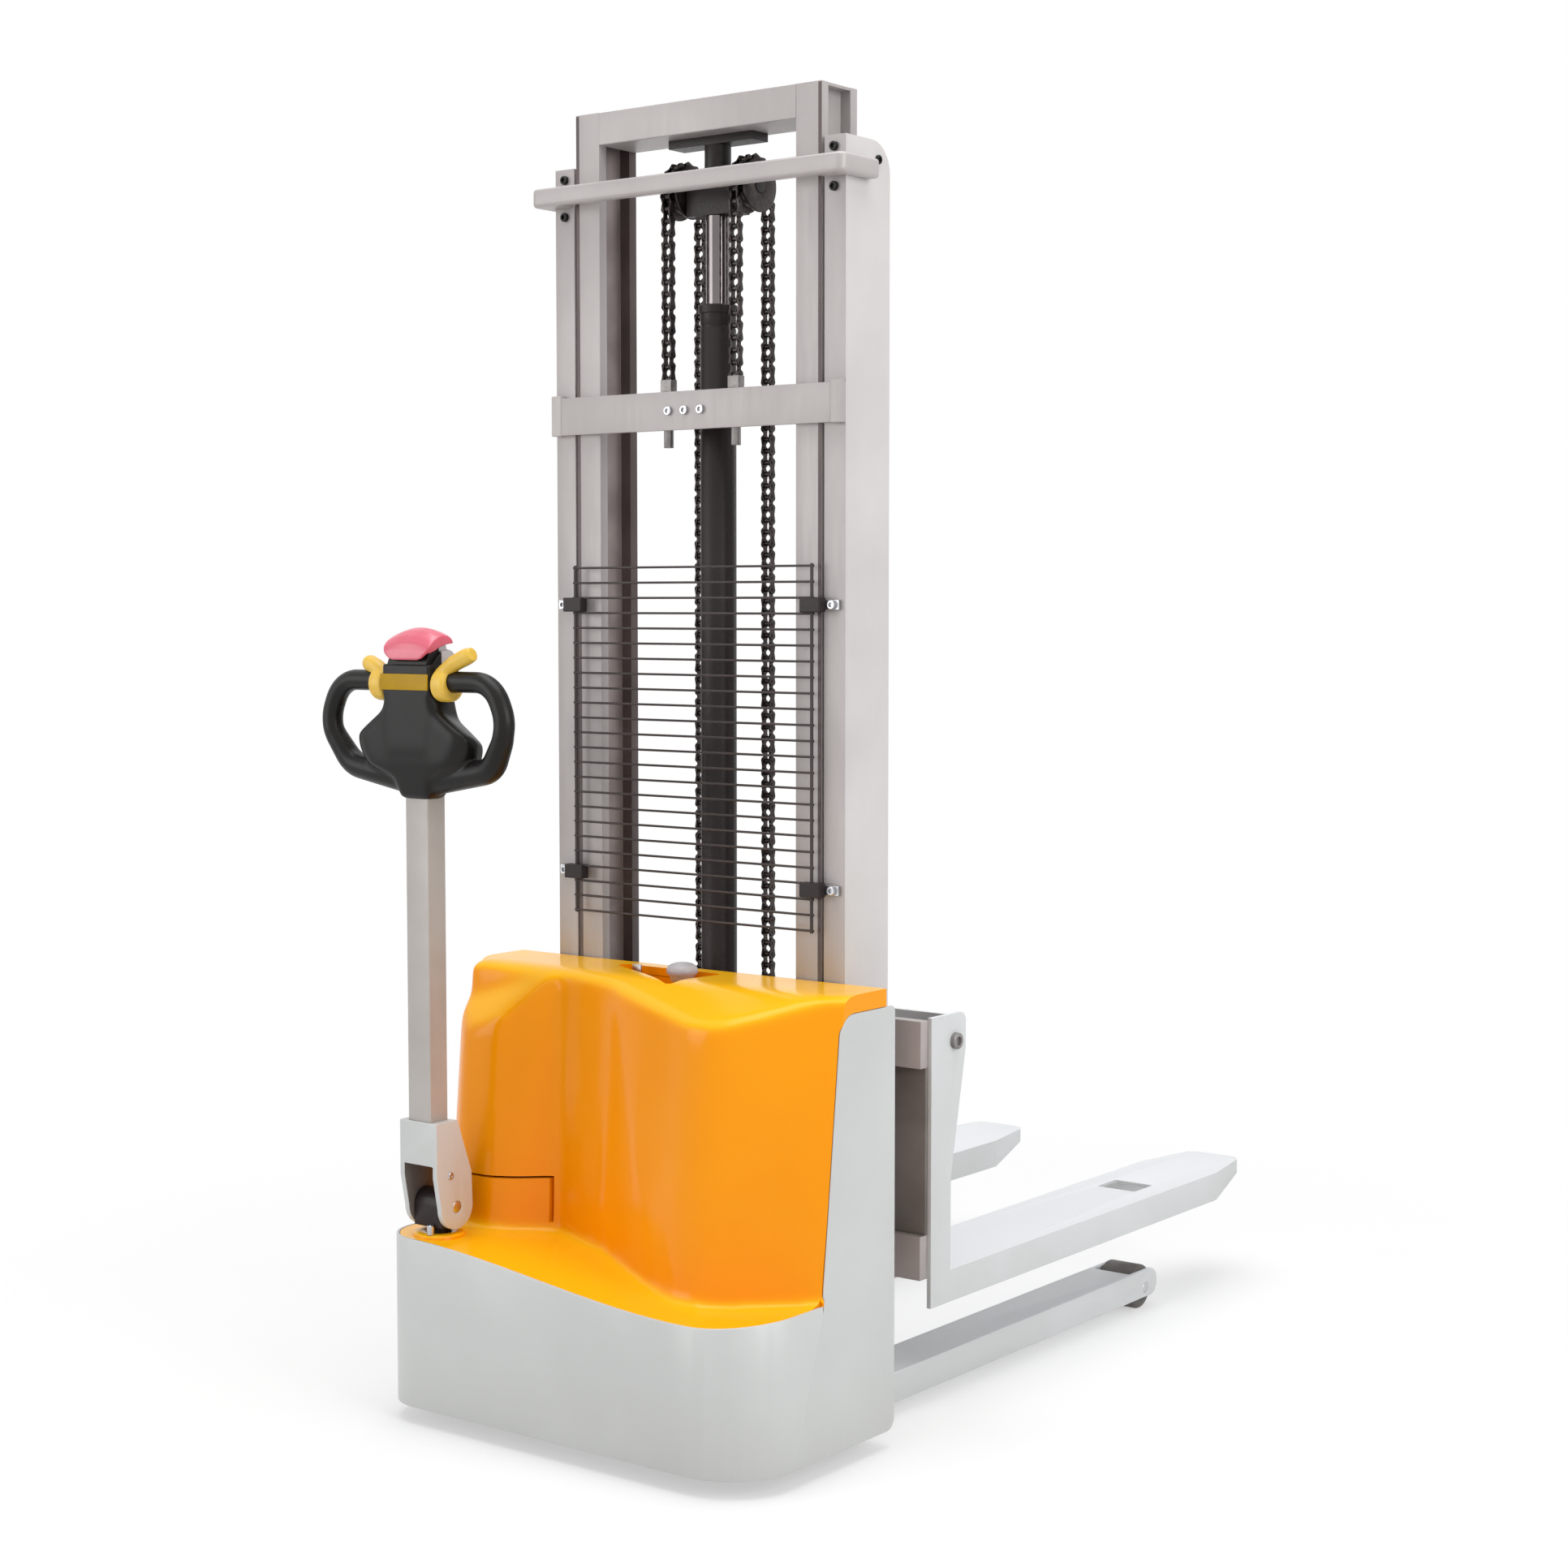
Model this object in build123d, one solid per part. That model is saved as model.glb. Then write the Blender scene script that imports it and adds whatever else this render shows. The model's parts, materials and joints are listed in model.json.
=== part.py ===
from build123d import *
import os
from math import atan2, cos, degrees, hypot

# Electric stacker in millimetres: X to the operator's right, Y towards the fork tips, Z up from the floor.
# While modelling, X = 0 is the middle of the truck and Y = 0 the rear face of the mast.
# At the end every piece moves so that the origin is the bottom centre of the whole truck.

# Clearances
seam = 1.0
running_gap = 0.05
roller_gap = 0.3
turn_gap = 0.5

# Chassis shell
chassis_width = 776.0
chassis_rear = 364.0
panel_front = 21.0
ground_gap = 29.0
panel_top = 713.0
sheet = 5.0
corner_left = 80.0
corner_right = 120.0
panel_toe_round = 20.0
panel_crown_round = 10.0
panel_head_round = 35.0
panel_foot_y = -170.0
panel_head_y = -122.0
apron_left = 308.0
apron_middle = 293.0
apron_middle_x = -100.0
apron_low = 261.0
apron_low_x = 230.0
apron_right = 269.0

# Base plate and bulkhead
plate_top = 244.0
plate_thick = 8.0
plate_corner_relief = 12.0
bulkhead_thick = 6.0
bulkhead_drop = 23.0

# Hood, deck cover and hatch
hood_wall = 4.0
hood_rise = 29.0
hood_front = 4.0
peak_inset = 188.0
peak_y = -283.0
crest_inset = 173.0
crest_y = -243.0
bend_x = -60.0
bend_foot_y = -177.0
bend_crest_y = -160.0
crease_inset = 216.0
crease_foot_y = -158.0
crease_crest_y = -148.0
nose_inset = 126.0
nose_foot_y = -238.0
nose_crest_y = -196.0
nose_shoulder_inset = 52.0
nose_side_foot_y = -205.0
nose_side_crest_y = -160.0
peak_round = 45.0
bend_round = 160.0
crease_round = 25.0
nose_round = 22.0
shoulder_round = 40.0
side_round = 20.0
slope_start_y = -130.0
slope_fall = 0.43
nose_slope_y = -150.0
nose_slope_fall = 1.13
deck_wall = 4.0
hatch_inset = 76.0
hatch_width = 130.0
hatch_height = 74.0
hatch_rise = 74.0
hatch_seam = 1.5

# Hood pocket with the key switch and the emergency stop
pocket_depth = 24.0
pocket_left_x = -165.0
pocket_left_y = -36.0
pocket_tip_x = 62.0
pocket_tip_y = -148.0
pocket_right_x = 82.0
pocket_right_y = -34.0
pocket_round = 12.0
key_x = -80.0
key_y = -58.0
key_radius = 9.0
key_collar = 4.0
key_height = 14.0
key_tab = 16.0
key_tab_thick = 3.0
stop_x = 20.0
stop_y = -62.0
stop_radius = 26.0
stop_stem = 8.0
stop_collar = 8.0
stop_stem_length = 22.0
stop_cap_height = 20.0
stop_round = 8.0

# Support legs, load wheels and mast foot
leg_inset = 0.5
leg_width = 96.0
leg_foot = 24.0
leg_top = 76.0
leg_wall = 6.0
wheel_y = 988.0
load_wheel_radius = 42.0
load_side_gap = 2.0
load_wheel_chamfer = 3.0
load_cheek = 10.0
load_axle_radius = 10.0
leg_nose = 43.0
wheel_room = 6.0

# Mast rails
mast_half = 304.0
outer_flange_width = 42.0
outer_depth = 121.0
outer_flange = 21.0
outer_web = 10.0
outer_top = 2080.0
outer_nose_round = 50.0
rail_gap = 5.0
inner_width = 51.0
inner_depth = 96.0
inner_flange = 18.0
inner_web = 9.5
inner_rise = 87.0
inner_foot = 154.0
top_beam_height = 54.0
beam_wall = 8.0
lower_beam_height = 80.0
lower_beam_depth = 20.0

# Rollers and their stub pins
pin_radius = 12.0
foot_roller_width = 26.0
foot_roller_lift = 55.0
side_roller_width = 16.0
outer_roller_drop = 38.0
carriage_roller_low = 300.0
carriage_roller_high = 600.0
roller_side_gap = 3.0
roller_chamfer = 1.6

# Yoke and crossbeam
yoke_rear = 40.0
yoke_bar = 22.0
yoke_drop = 65.0
yoke_height = 31.0
yoke_arm_front = 62.0
yoke_round = 14.0
beam_drop = 385.0
beam_height = 63.0
beam_plate = 10.0
beam_pad = 2.0
shelf_half = 112.0
shelf_front = 46.0
shelf_thick = 14.0

# Lift cylinder, rod, chain wheels and chains
cylinder_y = 61.0
cylinder_radius = 30.0
cylinder_bore = 25.0
cylinder_floor = 20.0
cylinder_drop = 255.0
gland_radius = 33.0
gland_height = 14.0
rod_radius = 20.0
rod_foot = 260.0
carrier_drop = 117.0
carrier_height = 65.0
carrier_half = 50.0
carrier_depth = 42.0
post_radius = 22.0
head_plate_half = 88.0
head_plate_thick = 14.0
chain_x = 71.0
chain_width = 22.0
chain_height = 16.0
chain_pitch_radius = 43.0
chain_wheel_drop = 22.0
chain_wheel_width = 34.0
chain_wheel_rim = 44.0
chain_axle = 12.5
chain_foot = 320.0
anchor_rise = 22.0
anchor_reach = 90.0
anchor_stud = 8.0
anchor_nut = 13.0
anchor_nut_height = 14.0

# Wire guard and its clips
guard_inset = 54.0
guard_foot = 824.0
guard_top = 1407.0
guard_rows = 24
guard_wire = 2.0
guard_edge_wire = 2.75
guard_y = -16.0
clip_low_margin = 66.0
clip_high_margin = 62.0
clip_length = 86.0
clip_inset = 10.0
clip_height = 26.0
clip_rear = 24.0
clip_lift = 2.0

# Bolts
bolt_radius = 7.5
bolt_height = 6.0
mast_bolt_inset = 22.0
mast_bolt_drop = 18.0
mast_bolt_pitch = 62.0
beam_bolt_x = -12.0
beam_bolt_pitch = 34.0

# Carriage and forks
fork_width = 170.0
fork_top = 233.0
fork_height = 55.0
fork_plate = 6.0
fork_wall = 8.0
fork_tip_y = 1354.5
fork_taper_y = 1200.0
fork_tip_width = 112.0
fork_tip_height = 24.0
fork_tip_round = 30.0
fork_heel_y = 254.5
shank_rear = 195.0
shank_top = 665.0
shank_ear_y = 298.0
shank_ear_z = 603.0
shank_knee_z = 390.0
shank_round = 16.0
window_side_gap = 5.0
window_length = 70.0
bar_inset = 7.5
bar_depth = 21.0
upper_bar_foot = 582.0
upper_bar_top = 661.0
lower_bar_foot = 228.0
lower_bar_top = 302.0
cheek_gap = 4.0
cheek_thick = 16.0
cheek_rear = 28.0
cheek_foot_margin = 16.0
cheek_top_margin = 5.0
back_plate_thick = 6.0
lug_width = 28.0
lug_foot = 262.0
lug_rear = 94.0

# Steering column and tiller
tiller_inset = 85.0
tiller_y = -303.0
pivot_z = 358.0
column_radius = 20.0
column_reach = 20.0
column_head_radius = 26.0
column_head_drop = 34.0
ring_radius = 44.0
ring_rise = 6.0
sprocket_radius = 38.0
sprocket_rise = 14.0
sprocket_thick = 8.0
steering_chain = 9.0
pivot_pin = 10.0
clevis_width = 84.0
clevis_cheek = 10.0
clevis_rear = 350.0
clevis_front = 268.0
clevis_front_top = 300.0
clevis_knee_rise = 54.0
clevis_slot_rise = 72.0
clevis_rise = 144.0
clevis_round = 37.0
tube_width = 50.0
tube_depth = 40.0
tube_wall = 3.0
tube_rear = 346.0
tube_seat = 52.0
tube_insert = 22.0

# Tiller head and its controls
head_foot = 1030.0
head_height = 220.0
head_rear = 370.0
head_front = 308.0
neck_half = 32.0
neck_rise = 32.0
wing_half = 108.0
wing_low_rise = 94.0
wing_high_rise = 116.0
wing_round = 7.0
block_half = 52.5
block_rise = 160.0
button_gap = 7.0
button_height = 52.0
button_rear = 370.0
button_front = 313.0
button_round = 24.0
button_stem = 10.0
button_stem_length = 28.0
button_stem_gap = 0.3
button_travel = 8.0
trim_drop = 16.0
trim_height = 26.0
trim_thick = 3.0
grip_radius = 16.5
grip_y = -345.0
grip_root_drop = 28.0
grip_top_x = 176.0
grip_out_x = 200.0
grip_out_drop = 100.0
grip_low_x = 150.0
grip_low_drop = 173.0
grip_end_x = 40.0
grip_end_drop = 186.0
grip_bend = 38.0
collar_radius = 27.0
collar_width = 14.0
lever_reach = 116.0
lever_foot = 20.0
lever_top = 42.0
lever_thick = 14.0
rocker_half = 16.0
rocker_height = 30.0
rocker_drop = 28.0
rocker_proud = 5.0
rocker_sink = 6.0
rocker_room = 2.0
rocker_round = 5.0
horn_radius = 9.0
horn_drop = 74.0
horn_proud = 5.0
horn_sink = 8.0
horn_travel = 3.0

# Drive unit
drive_inset = 123.0
drive_y = -140.0
drive_wheel_radius = 100.0
drive_wheel_width = 70.0
drive_wheel_round = 5.0
drive_axle = 15.0
drive_arm = 14.0
drive_arm_depth = 80.0
drive_side_gap = 5.0
drive_flange_radius = 80.0
drive_flange_gap = 12.0
drive_neck = 60.0
drive_neck_rise = 8.0
drive_post = 30.0
drive_post_rise = 24.0
motor_radius = 50.0
motor_height = 194.0

# Caster
caster_inset = 133.0
caster_y = -200.0
caster_trail = 35.0
caster_radius = 62.5
caster_width = 48.0
caster_round = 5.0
caster_axle = 8.0
caster_arm = 8.0
caster_arm_depth = 36.0
caster_side_gap = 3.0
caster_crown_gap = 13.0
caster_crown_thick = 28.0
caster_crown_depth = 90.0
caster_hub = 26.0
caster_kingpin = 14.0
caster_mount_size = 110.0
caster_mount_thick = 8.0

# Batteries, power pack and controller
battery_inset = 68.0
battery_width = 280.0
battery_rear = -150.0
battery_front = -22.0
battery_height = 195.0
battery_count = 2
tank_width = 140.0
tank_gap = 25.0
tank_rear = -132.0
tank_height = 180.0
pump_radius = 48.0
pump_height = 170.0
controller_width = 220.0
controller_depth = 55.0
controller_gap = 11.0
controller_height = 40.0

# Places worked out from the sizes above
chassis_half = chassis_width / 2
base_foot = plate_top - plate_thick
hood_side = chassis_half - sheet - seam
peak_x = chassis_half - peak_inset
crest_x = chassis_half - crest_inset
crease_x = crease_inset - chassis_half
nose_x = nose_inset - chassis_half
nose_shoulder_x = nose_shoulder_inset - chassis_half
hood_top = panel_top + hood_rise
bulkhead_front = -hood_front - hood_wall - seam
bulkhead_rear = bulkhead_front - bulkhead_thick
bulkhead_top = panel_top - bulkhead_drop
hatch_left = hatch_inset - chassis_half
hatch_right = hatch_left + hatch_width
hatch_foot = plate_top + hatch_rise
hatch_top = hatch_foot + hatch_height
pocket_floor = hood_top - pocket_depth
stop_cap_foot = pocket_floor + stop_stem_length
stop_cap_top = stop_cap_foot + stop_cap_height
tiller_x = tiller_inset - chassis_half
drive_x = drive_inset - chassis_half
caster_x = chassis_half - caster_inset
battery_right = chassis_half - battery_inset
battery_left = battery_right - battery_width
tank_right = battery_left - tank_gap
tank_left = tank_right - tank_width
controller_foot = plate_top + battery_count * battery_height + controller_gap

fork_centre = mast_half - leg_inset - leg_width / 2
leg_inner = fork_centre - leg_width / 2
leg_outer = fork_centre + leg_width / 2
fork_inner = fork_centre - fork_width / 2
fork_outer = fork_centre + fork_width / 2
load_axle_height = load_wheel_radius
load_wheel_width = leg_width - 2 * (load_cheek + load_side_gap)
window_width = load_wheel_width + 2 * window_side_gap

outer_web_x = mast_half - outer_web
outer_flange_x = mast_half - outer_flange_width
outer_mid_y = outer_depth / 2
outer_roller_z = outer_top - outer_roller_drop
yoke_foot = outer_top - yoke_drop
beam_top = outer_top - beam_drop
beam_foot = beam_top - beam_height
mast_bolt_x = mast_half - mast_bolt_inset
mast_bolt_upper = outer_top - mast_bolt_drop
mast_bolt_lower = mast_bolt_upper - mast_bolt_pitch
guard_half = mast_half - guard_inset
clip_outer = mast_half - clip_inset
clip_inner = clip_outer - clip_length
clip_low = guard_foot + clip_low_margin
clip_high = guard_top - clip_high_margin

inner_top = outer_top + inner_rise
inner_outer_x = outer_flange_x - rail_gap
inner_inner_x = inner_outer_x - inner_width
inner_mid_x = (inner_outer_x + inner_inner_x) / 2
inner_web_x = inner_mid_x + inner_web / 2
inner_mid_y = inner_depth / 2
top_beam_foot = inner_top - top_beam_height
foot_roller_radius = outer_depth / 2 - outer_flange - roller_gap
side_roller_radius = inner_depth / 2 - inner_flange - roller_gap
foot_roller_z = inner_foot + foot_roller_lift

cylinder_top = outer_top - cylinder_drop
carrier_top = inner_top - carrier_drop
carrier_foot = carrier_top - carrier_height
chain_wheel_z = carrier_top - chain_wheel_drop
chain_rear_y = cylinder_y - chain_pitch_radius
chain_front_y = cylinder_y + chain_pitch_radius
anchor_top = beam_top + anchor_rise
anchor_foot = beam_top - anchor_reach

bar_rear = shank_rear - bar_depth
bar_half = fork_outer - bar_inset
cheek_outer = inner_inner_x - cheek_gap
cheek_foot = lower_bar_foot + cheek_foot_margin
cheek_top = upper_bar_top - cheek_top_margin

sprocket_foot = plate_top + sprocket_rise
sprocket_top = sprocket_foot + sprocket_thick
column_foot = base_foot - column_reach
column_head_foot = pivot_z - column_head_drop
ring_top = apron_left + ring_rise
clevis_knee = pivot_z + clevis_knee_rise
clevis_slot_top = pivot_z + clevis_slot_rise
clevis_top = pivot_z + clevis_rise
tube_foot = clevis_top - tube_seat
tube_top = head_foot + tube_insert

head_top = head_foot + head_height
neck_z = head_foot + neck_rise
wing_low = head_foot + wing_low_rise
wing_high = head_foot + wing_high_rise
block_z = head_foot + block_rise
button_foot = head_top + button_gap
button_top = button_foot + button_height
trim_top = head_top - trim_drop
trim_foot = trim_top - trim_height
grip_root_z = head_top - grip_root_drop
grip_out_z = head_top - grip_out_drop
grip_low_z = head_top - grip_low_drop
grip_end_z = head_top - grip_end_drop
rocker_z = head_top - rocker_drop
horn_z = head_top - horn_drop

drive_flange_foot = 2 * drive_wheel_radius + drive_flange_gap
drive_neck_top = plate_top + drive_neck_rise
drive_post_top = drive_neck_top + drive_post_rise
motor_top = drive_post_top + motor_height
caster_crown_foot = 2 * caster_radius + caster_crown_gap
caster_crown_top = caster_crown_foot + caster_crown_thick


# Basic shapes placed by their limits

def block(x0, x1, y0, y1, z0, z1):
    middle = Pos((x0 + x1) / 2, (y0 + y1) / 2, (z0 + z1) / 2)
    return middle * Box(x1 - x0, y1 - y0, z1 - z0)


def bar_x(radius, x0, x1, y, z):
    return Pos((x0 + x1) / 2, y, z) * Rot(0, 90, 0) * Cylinder(radius, x1 - x0)


def bar_y(radius, y0, y1, x, z):
    return Pos(x, (y0 + y1) / 2, z) * Rot(90, 0, 0) * Cylinder(radius, y1 - y0)


def bar_z(radius, z0, z1, x, y):
    return Pos(x, y, (z0 + z1) / 2) * Cylinder(radius, z1 - z0)


def side_plate(points, radii, x0, x1):
    outline = FilletPolyline(*[(x0, y, z) for y, z in points], radius=radii, close=True)
    return extrude(make_face(outline), amount=x1 - x0, dir=(1, 0, 0))


def front_plate(points, radii, y0, y1):
    outline = FilletPolyline(*[(x, y0, z) for x, z in points], radius=radii, close=True)
    return extrude(make_face(outline), amount=y1 - y0, dir=(0, 1, 0))


def plan_plate(points, radii, z0, z1):
    outline = FilletPolyline(*[(x, y, z0) for x, y in points], radius=radii, close=True)
    return extrude(make_face(outline), amount=z1 - z0, dir=(0, 0, 1))


def other_side(solid):
    return mirror(solid, about=Plane.YZ)


def both_sides(solid):
    return [solid, other_side(solid)]


# Chassis shell: a bent sheet with a low apron at the rear and a tall panel on each side

def chassis_plan(inset, relief, front, z0, z1):
    side = chassis_half - inset
    rear = inset - chassis_rear
    points = [(-side, front), (-side, rear), (side, rear), (side, front)]
    radii = [0, corner_left - inset + relief, corner_right - inset + relief, 0]
    return plan_plate(points, radii, z0, z1)


def above_apron(drop):
    start = -chassis_rear - seam
    low = (apron_low_x, start, apron_low - drop)
    middle = (apron_middle_x, start, apron_middle - drop)
    left = (-chassis_half, start, apron_left - drop)
    right = (chassis_half, start, apron_right - drop)
    edge = Spline(left, middle, low, right)
    ceiling = hood_top + seam
    frame = Polyline(right, (chassis_half, start, ceiling), (-chassis_half, start, ceiling), left)
    return extrude(make_face(edge + frame), amount=chassis_rear + panel_front + 2 * seam, dir=(0, 1, 0))


def behind_panel():
    rear = -chassis_rear - seam
    front = panel_front + seam
    ceiling = hood_top + seam
    lean = (panel_head_y - panel_foot_y) / (panel_top - apron_low)
    foot_y = panel_head_y - lean * (panel_top - ground_gap)
    points = [(rear, ground_gap), (foot_y, ground_gap), (panel_head_y, panel_top), (front, panel_top)]
    points += [(front, ceiling), (rear, ceiling)]
    return side_plate(points, [0, 0, panel_head_round, 0, 0, 0], -chassis_half, chassis_half)


def make_chassis_shell():
    outer = chassis_plan(0, 0, panel_front, ground_gap, panel_top)
    inner = chassis_plan(sheet, 0, panel_front, ground_gap, panel_top)
    side = [(-chassis_rear, ground_gap), (panel_front, ground_gap)]
    side += [(panel_front, panel_top), (-chassis_rear, panel_top)]
    silhouette = side_plate(side, [0, panel_toe_round, panel_crown_round, 0], -chassis_half, chassis_half)
    return ((outer - inner) & silhouette) - (above_apron(0) & behind_panel())


def make_base_plate():
    plate = chassis_plan(sheet, plate_corner_relief, bulkhead_rear, base_foot, plate_top)
    column_hole = bar_z(column_radius + running_gap, base_foot, plate_top, tiller_x, tiller_y)
    drive_hole = bar_z(drive_neck + roller_gap, base_foot, plate_top, drive_x, drive_y)
    return plate - column_hole - drive_hole


def make_bulkhead():
    narrow = hood_side - hood_wall - seam
    wide = chassis_half - sheet
    upper = block(-narrow, narrow, bulkhead_rear, bulkhead_front, base_foot, bulkhead_top)
    lower = block(-wide, wide, bulkhead_rear, bulkhead_front, ground_gap, plate_top)
    return upper + lower


# Hood: a leaning moulded wall with a peak on the right, a crease and a nose behind the tiller

def hood_plan(z, share):
    def between(foot, crest):
        return foot + (crest - foot) * share
    points = [
        (hood_side, -hood_front, z),
        (hood_side, between(panel_foot_y, panel_head_y) + seam, z),
        (between(peak_x, crest_x), between(peak_y, crest_y), z),
        (bend_x, between(bend_foot_y, bend_crest_y), z),
        (crease_x, between(crease_foot_y, crease_crest_y), z),
        (nose_x, between(nose_foot_y, nose_crest_y), z),
        (nose_shoulder_x, between(nose_foot_y, nose_crest_y), z),
        (-hood_side, between(nose_side_foot_y, nose_side_crest_y), z),
        (-hood_side, -hood_front, z),
    ]
    radii = [0, 0, peak_round, bend_round, crease_round, nose_round, shoulder_round, side_round, 0]
    return make_face(FilletPolyline(*points, radius=radii, close=True))


def hood_body(inset):
    foot = hood_plan(plate_top, 0)
    crest = hood_plan(hood_top, 1)
    if inset:
        foot = offset(foot, -inset)
        crest = offset(crest, -inset)
    body = loft([foot, crest], ruled=True)
    rear = -chassis_rear
    slope_end = hood_top - slope_fall * (slope_start_y - rear)
    nose_end = hood_top - nose_slope_fall * (nose_slope_y - rear)
    slope = [(slope_start_y, hood_top - inset), (rear, slope_end - inset), (rear, hood_top + seam)]
    slope += [(0, hood_top + seam), (0, hood_top - inset)]
    nose = [(nose_slope_y, hood_top - inset), (rear, nose_end - inset), (rear, hood_top + seam)]
    nose += [(nose_slope_y, hood_top + seam)]
    body -= side_plate(slope, 0, -chassis_half, chassis_half)
    return body - side_plate(nose, 0, -chassis_half, crease_x)


def pocket(grow, floor):
    points = [(pocket_left_x, pocket_left_y), (pocket_tip_x, pocket_tip_y), (pocket_right_x, pocket_right_y)]
    outline = make_face(FilletPolyline(*[(x, y, floor) for x, y in points], radius=pocket_round, close=True))
    if grow:
        outline = offset(outline, grow)
    return extrude(outline, amount=hood_top + seam - floor, dir=(0, 0, 1))


def make_hood_and_hatch():
    body = hood_body(0)
    inside = hood_body(hood_wall) - pocket(hood_wall, pocket_floor - hood_wall)
    shell = body - inside - pocket(0, pocket_floor)
    lip_rear = panel_head_y + panel_head_round
    lip = block(hood_side, chassis_half, lip_rear, -hood_front, panel_top + seam, hood_top)
    shell = shell + lip + other_side(lip)
    chain_way = block(-chassis_half, crease_x, -chassis_rear, nose_slope_y, plate_top, sprocket_top + seam)
    key_seat = bar_z(key_radius + hood_wall, pocket_floor, pocket_floor + key_collar, key_x, key_y)
    stop_seat = bar_z(stop_stem + hood_wall, pocket_floor, pocket_floor + stop_collar, stop_x, stop_y)
    key_hole = bar_z(key_radius + running_gap, pocket_floor, pocket_floor + key_collar, key_x, key_y)
    stop_hole_foot = pocket_floor - hood_wall
    stop_hole = bar_z(stop_stem + running_gap, stop_hole_foot, pocket_floor + stop_collar, stop_x, stop_y)
    shell = shell - chain_way + key_seat + stop_seat - key_hole - stop_hole
    door = block(hatch_left, hatch_right, -chassis_rear, nose_slope_y, hatch_foot, hatch_top)
    opening = block(hatch_left, hatch_right + hatch_seam, -chassis_rear, nose_slope_y, hatch_foot,
                    hatch_top + hatch_seam)
    return shell - opening, shell & door


def make_deck_cover():
    sheet_layer = above_apron(seam + deck_wall) - above_apron(seam)
    floor = chassis_plan(sheet + seam, 0, bulkhead_rear, plate_top, apron_left)
    deck = (sheet_layer & floor) - hood_body(0)
    deck = max(deck.solids(), key=lambda solid: solid.volume)
    boss = bar_z(ring_radius, apron_middle, ring_top, tiller_x, tiller_y)
    hole = bar_z(column_radius + turn_gap, plate_top, ring_top, tiller_x, tiller_y)
    return deck + boss - hole


def make_key_switch():
    barrel = bar_z(key_radius, pocket_floor, pocket_floor + key_height, key_x, key_y)
    tab_foot = pocket_floor + key_height
    tab_half = key_tab_thick / 2
    tab = block(key_x - key_radius, key_x + key_radius, key_y - tab_half, key_y + tab_half, tab_foot,
                tab_foot + key_tab)
    return barrel + tab


def make_emergency_stop():
    stem = bar_z(stop_stem, pocket_floor, stop_cap_foot, stop_x, stop_y)
    cap = bar_z(stop_radius, stop_cap_foot, stop_cap_top, stop_x, stop_y)
    cap = fillet(cap.edges().group_by(Axis.Z)[-1], stop_round)
    return stem + cap


# Mast foot and support legs

def make_mast_foot():
    wide = chassis_half - sheet
    cross = block(-mast_half, mast_half, bulkhead_front, outer_depth, leg_foot, leg_top)
    ears = block(-wide, wide, bulkhead_front, panel_front, ground_gap, leg_top)
    return cross + ears


def make_leg():
    slot_rear = wheel_y - load_wheel_radius - wheel_room
    nose_round = (leg_top - leg_foot) / 2 - seam
    outline = [(outer_depth, leg_foot), (wheel_y + leg_nose, leg_foot)]
    outline += [(wheel_y + leg_nose, leg_top), (outer_depth, leg_top)]
    leg = side_plate(outline, [0, nose_round, nose_round, 0], leg_inner, leg_outer)
    hollow = block(leg_inner + leg_wall, leg_outer - leg_wall, outer_depth, slot_rear - leg_wall,
                   leg_foot + leg_wall, leg_top - leg_wall)
    slot = block(leg_inner + load_cheek, leg_outer - load_cheek, slot_rear, wheel_y + leg_nose,
                 leg_foot, leg_top)
    bore = bar_x(load_axle_radius, leg_inner, leg_outer, wheel_y, load_axle_height)
    return leg - hollow - slot - bore


def make_load_axle():
    return bar_x(load_axle_radius, leg_inner, leg_outer, wheel_y, load_axle_height)


def make_load_wheel():
    left = fork_centre - load_wheel_width / 2
    right = fork_centre + load_wheel_width / 2
    wheel = bar_x(load_wheel_radius, left, right, wheel_y, load_axle_height)
    wheel = chamfer(wheel.edges().filter_by(GeomType.CIRCLE), load_wheel_chamfer)
    return wheel - bar_x(load_axle_radius + running_gap, left, right, wheel_y, load_axle_height)


# Mast rails with their welded stub pins

def make_outer_rail():
    outline = [(0, leg_top), (outer_depth, leg_top), (outer_depth, outer_top), (0, outer_top)]
    rail = side_plate(outline, [0, 0, outer_nose_round, 0], outer_flange_x, mast_half)
    channel = block(outer_flange_x, outer_web_x, outer_flange, outer_depth - outer_flange, leg_top, outer_top)
    pin_end = inner_web_x + roller_side_gap
    return rail - channel + bar_x(pin_radius, pin_end, outer_web_x, inner_mid_y, outer_roller_z)


def make_inner_rail():
    rail = block(inner_inner_x, inner_outer_x, 0, inner_depth, inner_foot, inner_top)
    recess_rear = inner_flange
    recess_front = inner_depth - inner_flange
    outward = block(inner_web_x, inner_outer_x, recess_rear, recess_front, inner_foot, inner_top)
    inward = block(inner_inner_x, inner_web_x - inner_web, recess_rear, recess_front, inner_foot, inner_top)
    pin_end = outer_web_x - roller_side_gap
    return rail - outward - inward + bar_x(pin_radius, inner_web_x, pin_end, outer_mid_y, foot_roller_z)


def roller(radius, x0, x1, y, z):
    wheel = bar_x(radius, x0, x1, y, z)
    wheel = chamfer(wheel.edges().filter_by(GeomType.CIRCLE), roller_chamfer)
    return wheel - bar_x(pin_radius + running_gap, x0, x1, y, z)


def make_foot_roller():
    outer_face = outer_web_x - roller_side_gap
    return roller(foot_roller_radius, outer_face - foot_roller_width, outer_face, outer_mid_y, foot_roller_z)


def make_top_roller():
    inner_face = inner_web_x + roller_side_gap
    outer_face = inner_face + side_roller_width
    return roller(side_roller_radius, inner_face, outer_face, inner_mid_y, outer_roller_z)


def make_carriage_roller(z):
    outer_face = inner_web_x - inner_web - roller_side_gap
    return roller(side_roller_radius, outer_face - side_roller_width, outer_face, inner_mid_y, z)


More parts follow.
